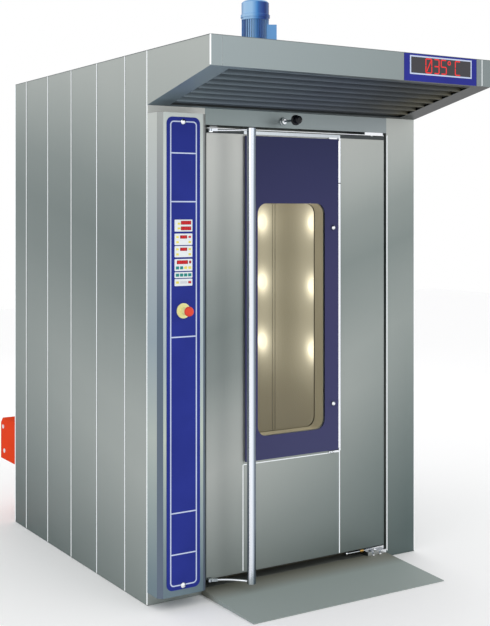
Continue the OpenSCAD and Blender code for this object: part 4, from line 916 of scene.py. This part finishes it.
# %% Print the label's lines
label_low, label_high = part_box("control_label")
label_mid_x = (label_low.x + label_high.x) / 2
LINE = 0.0055
PROUD = 0.0004
FIELD_W = 0.131
FIELD_LOW, FIELD_HIGH = 0.100, 2.091
DIVIDERS = (1.953, 1.745, 1.165, 0.413, 0.236)
field_mid = np.array([label_mid_x, label_low.y, (FIELD_LOW + FIELD_HIGH) / 2])
label_lines = [band_arrays(field_mid, FIELD_W, FIELD_HIGH - FIELD_LOW, LINE, PROUD, 0.018)]
label_lines += [plate_arrays(np.array([label_mid_x, label_low.y, z]), FIELD_W - 2 * LINE, LINE, PROUD,
                             bevel=0.0001) for z in DIVIDERS]
make("label_lines", label_lines, "module_plastic", finish=COATED["display_frame"])
print("label lines", len(label_lines))

# %% [markdown]
# ## Keys and read-outs
# Each pale module holds red read-outs and coloured membrane keys. They are listed as fields:
# the module's row, and in millimetres the place across, the place up, the width and the
# height, and last the colour. The rows' heights are metres above the stop button.

# %% Lay out the modules
KEY_COLOURS = {
    "red": coated("readout_red", seen(150, 14, 26), 0.4, gloss=0.2),
    "yellow": coated("key_yellow", seen(226, 212, 96), 0.4, gloss=0.2),
    "teal": coated("key_teal", seen(28, 132, 128), 0.4, gloss=0.2),
    "grey": coated("key_grey", seen(206, 210, 214), 0.4, gloss=0.2),
}
lit_red = glowing("lit_red", (0.78, 0.010, 0.012), (0.2, 0.0, 0.0))
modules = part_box("control_modules")
MODULE_X = (modules[0].x + modules[1].x) / 2
MODULE_Y = modules[0].y
KEY_T = 0.0009
STOP_Z = 1.277
MODULE_ROWS = (0.3655, 0.3065, 0.254, 0.1965, 0.1535, 0.122)
KEYS = [
    (0, -22, 8, 14, 8, "yellow"), (0, 12, 12, 50, 16, "red"), (0, 12, -12, 50, 16, "red"),
    (0, -22, -12, 14, 8, "yellow"),
    (1, -30, 10, 12, 9, "yellow"), (1, 0, 10, 34, 14, "red"), (1, 30, 10, 12, 9, "red"),
    (1, -30, -12, 12, 9, "yellow"), (1, 30, -12, 12, 9, "yellow"),
    (2, -30, 10, 12, 9, "yellow"), (2, 0, 10, 34, 14, "red"), (2, 30, 10, 12, 9, "yellow"),
    (2, -30, -12, 12, 9, "yellow"), (2, 30, -12, 12, 9, "yellow"),
    (3, -6, 12, 54, 16, "red"), (3, 32, 12, 10, 12, "red"),
    (3, -30, -12, 15, 13, "teal"), (3, -10, -12, 15, 13, "teal"), (3, 10, -12, 14, 11, "yellow"),
    (3, 30, -12, 14, 11, "yellow"),
    (4, -30, 0, 16, 13, "teal"), (4, -10, 0, 16, 13, "teal"), (4, 10, 0, 16, 13, "teal"),
    (4, 30, 0, 16, 13, "teal"),
    (5, -30, 0, 14, 10, "yellow"), (5, 0, 0, 34, 10, "grey"), (5, 30, 0, 14, 10, "red"),
]
for colour, finish in KEY_COLOURS.items():
    parts = [plate_arrays((MODULE_X + x * MM, MODULE_Y, STOP_Z + MODULE_ROWS[row] + z * MM),
                          w * MM, h * MM, KEY_T, 0.0015, 0.0003)
             for row, x, z, w, h, c in KEYS if c == colour]
    make("keys_" + colour, parts, "module_plastic", finish=finish)

# The read-outs' lit figures: plain rings, as many as fit each red field.
DIGIT_W, DIGIT_PITCH = 0.0075, 0.0115
digits = []
for row, x, z, w, h, colour in KEYS:
    count = int(w * MM / DIGIT_PITCH) if colour == "red" else 0
    for k in range(count):
        place = (MODULE_X + x * MM + (k - (count - 1) / 2) * DIGIT_PITCH, MODULE_Y - KEY_T,
                 STOP_Z + MODULE_ROWS[row] + z * MM)
        digits.append(band_arrays(place, DIGIT_W, h * MM * 0.72, 0.0018, 0.0003, 0.002))
make("readout_figures", digits, "module_plastic", finish=lit_red)
print("keys", len(KEYS), "figures", len(digits))

# %% [markdown]
# ## The temperature read-out
# The sign over the door shows red figures on a dark window. A figure is a choice of seven
# bars. A slanted bar crosses the nought, and a ring is the degree sign.

# %% Build the read-out
frame_low, frame_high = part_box("display_window")
sign_mid = np.array([(frame_low.x + frame_high.x) / 2, frame_high.y - 0.0004,
                     (frame_low.z + frame_high.z) / 2])
dark_window = coated("dark_window", (0.006, 0.004, 0.010), 0.12, coat=0.5)
sign_w, sign_h = frame_high.x - frame_low.x - 0.012, frame_high.z - frame_low.z - 0.012
FACE_T = 0.0012
make("display_face", [plate_arrays(sign_mid, sign_w, sign_h, FACE_T, 0.001)], "display_blue",
     finish=dark_window)
BAR_W, BAR_T, FIGURE_H = 0.0052, 0.0006, 0.062
BARS = {
    "a": (0, 1, True), "b": (1, 0.5, False), "c": (1, -0.5, False), "d": (0, -1, True),
    "e": (-1, -0.5, False), "f": (-1, 0.5, False), "g": (0, 0, True),
}
FIGURES = {"0": "abcdef", "3": "abcdg", "5": "acdfg", "C": "adef"}
SIGNS = [("0", -0.074, 0.034), ("3", -0.028, 0.028), ("5", 0.014, 0.030), ("C", 0.098, 0.030)]


def figure_arrays(centre, width, bars):
    """The bars of one figure: level ones lie at the top, middle and bottom, upright ones at a
    quarter and three quarters of the height."""
    parts = []
    for bar in bars:
        side, up, level = BARS[bar]
        place = centre + np.array([side * width / 2, 0, up * FIGURE_H / 2])
        size = (width - 0.002, BAR_W) if level else (BAR_W, FIGURE_H / 2 - 0.002)
        parts.append(plate_arrays(place, *size, BAR_T, 0.002, 0.0002))
    return parts


sign_parts = []
figures_mid = sign_mid - (0, FACE_T, 0)
for sign, x, width in SIGNS:
    sign_parts += figure_arrays(figures_mid + (x, 0, 0), width, FIGURES[sign])
sign_parts.append(band_arrays(figures_mid + (0.046, 0, 0.020), 0.020, 0.020, 0.005, BAR_T, 0.010))
slash = np.array([[0.013, 0, 0.025], [0, 0, 0], [-0.013, 0, -0.025]])
sign_parts.append(bar_arrays(figures_mid + (-0.074, -0.0004, 0) + slash, 0.0024, 8))
make("display_figures", sign_parts, "stop_red", finish=lit_red)
print("sign parts", len(sign_parts))

# %% [markdown]
# ## Bright joints, painted as highlights
# Where two panels meet, their folded edges show as thin pale lines. Each joint gets a slim round bead that
# stands a hair proud and glows: a painted highlight of the fold. On the sides a darker hairline runs on both
# sides of the inner beads, painted shade where the fold turns away, and others run along the casing's top
# edges. The door has glowing beads of its own and a thin trim plate over its glass, painted with a highlight.

# %% Run beads down the joints
SIDE_JOINTS = (0, 216, 515, 814, 1113, 1412, 1578)
CASING_W = -2 * LEFT / MM
CASING_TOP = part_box("roof_panels")[1].z / MM
# The beads glow with painted highlights; the hairlines are painted shade.
joint_painted_highlight = glowing("joint_painted_highlight", (0.62, 0.66, 0.68), (0.5, 0.5, 0.5))
joint_painted_shade = coated("joint_painted_shade", seen(92, 100, 100), 0.5, gloss=0.2)


def bead(start, end, width=0.0045):
    """A straight round bar between two points."""
    return bar_arrays(np.linspace(start, end, 3), width / 2, 8)


def upright(x, y, low, high, width=0.0045):
    """An upright bead, from millimetres right of and behind the casing's corner."""
    return bead(at(x, y, low), at(x, y, high), width)


beads, hairlines = [], []
for x in (0, CASING_W):
    for y in SIDE_JOINTS:
        beads.append(upright(x, y + 1.5, 4, CASING_TOP - 2))
    for y in SIDE_JOINTS[1:-1]:
        hairlines += [upright(x, y + 1.5 + off, 4, CASING_TOP - 2, 0.002) for off in (-4.5, 4.5)]
HOOD_BEADS = ((0, 0.006), (1500, 0.006), (52, 0.003), (1443, 0.005))
beads += [upright(x, -540.5, 2279, 2398, width) for x, width in HOOD_BEADS]
beads.append(upright(1326, 0, 30, 2078, 0.005))
for x in (0, 1500):
    hairlines.append(bead(at(x, -538, 2399), at(x, 1575, 2399), 0.003))
hairlines.append(bead(at(4, -541, 2399), at(1496, -541, 2399), 0.003))
make("joint_beads", beads, "brushed_stainless", finish=joint_painted_highlight)
make("joint_hairlines", hairlines, "brushed_stainless", finish=joint_painted_shade)
door_beads = [upright(488, 0, 70, 550), upright(1034, 0, 64, 552, 0.005), upright(1034, 0, 2043, 2062),
              bead(at(490, 0, 551), at(1034, 0, 551), 0.004),
              bead(at(300, 0, 2076), at(1305, 0, 2076), 0.003)]
make("door_beads", door_beads, "brushed_stainless", "door", finish=joint_painted_highlight)
# The trim plate is a painted highlight on the door's top band: light where it faces the light side, dark at
# its edges.
trim_light = polished("trim_light", [(0.0, (120, 126, 130)), (1.0, (205, 212, 218))])
make("door_trim_highlight", [plate_arrays(at(765, 0, 2062), 0.546, 0.016, 0.0015, 0.004)], "polished_steel", "door",
     finish=trim_light)
print("beads", len(beads) + len(door_beads), "hairlines", len(hairlines))

# %% [markdown]
# ## Small hardware
# Small pieces that the photograph shows: the collar round the damper's rod, the bolts of the
# door's lower pivot with the adjuster's rod and nut, the ring and feet of the pane's hinge,
# the burner's screws, the marks at the column's top and the chamber wall's seams.

# %% Add the hardware
def screw(x, y, z, radius, height):
    """A domed round head on a face that looks to the front."""
    return turned_arrays(at(x, y, z), [(radius, 0), (radius, height * 0.4), (radius * 0.7, height * 0.85),
                                       (radius * 0.2, height)], sides=20)


rod_low, rod_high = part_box("damper_rod")
rod_mid = np.array([(rod_low.x + rod_high.x) / 2, FRONT, (rod_low.z + rod_high.z) / 2])
collar = [turned_arrays(rod_mid, [(0.0075, 0), (0.019, 0), (0.019, 0.003), (0.016, 0.006), (0.013, 0.007),
                                  (0.013, 0.012), (0.0095, 0.014), (0.0075, 0.014)])]
make("damper_collar", collar, "polished_steel")
BOLTS = ((1227, -20, 27, 0.008), (1270, -20, 27, 0.008), (1236, -18, 52, 0.008), (1074, -6, 55, 0.006))
bolts = [screw(*bolt, 0.006) for bolt in BOLTS]
bolts.append(bead(at(1070, -8, 55), at(1232, -8, 55), 0.005))
make("pivot_bolts", bolts, "polished_steel")
brass = coated("brass", (0.55, 0.33, 0.10), 0.3, metal=1.0)
make("adjuster_nut", [bar_arrays(np.linspace(at(1152, -8, 55), at(1172, -8, 55), 3), 0.006, 6)],
     "machined_steel", finish=brass)
hinge_low, hinge_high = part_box("glass_hinge")
hinge_ring = np.array([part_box("hinge_rod")[0].x + 0.005, (hinge_low.y + hinge_high.y) / 2, 1.838])
make("hinge_caps", [turned_arrays(hinge_ring, [(0.0089, -0.002), (0.0089, 0.002)], "z")],
     "black_plastic", "glass_leaf")
FOOT_Z = 556
feet = [plate_arrays(at(1000, 0, z), 0.066, 0.008, 0.006, 0.002) for z in (FOOT_Z, 2052)]
feet += [screw(x, -6, FOOT_Z, 0.006, 0.004) for x in (980, 995)]
make("hinge_foot_plate", feet, "polished_steel", "door")
burner_low, burner_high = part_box("burner")
cover_spots = ((burner_high.y - 0.04, burner_high.z - 0.05), (burner_high.y - 0.06, burner_low.z + 0.05))
cover_screws = [bar_arrays([(burner_low.x + out * MM, y, z) for out in (1, -1, -3)], 0.012, 16)
                for y, z in cover_spots]
make("burner_screws", cover_screws, "module_plastic")
make("column_marks", [plate_arrays(at(x, -100, 2118), 0.008, 0.006, 0.001) for x in (178, 192, 206)],
     "module_plastic")
WALL_SEAMS = (0.2136, 0.2396)
make("wall_seams", [bead((WALL_X, y, 0.32), (WALL_X, y, 1.86), 0.003) for y in WALL_SEAMS], "chamber_steel",
     finish=coated("seam_shade", (0.10, 0.09, 0.07), 0.6))
print("hardware done")
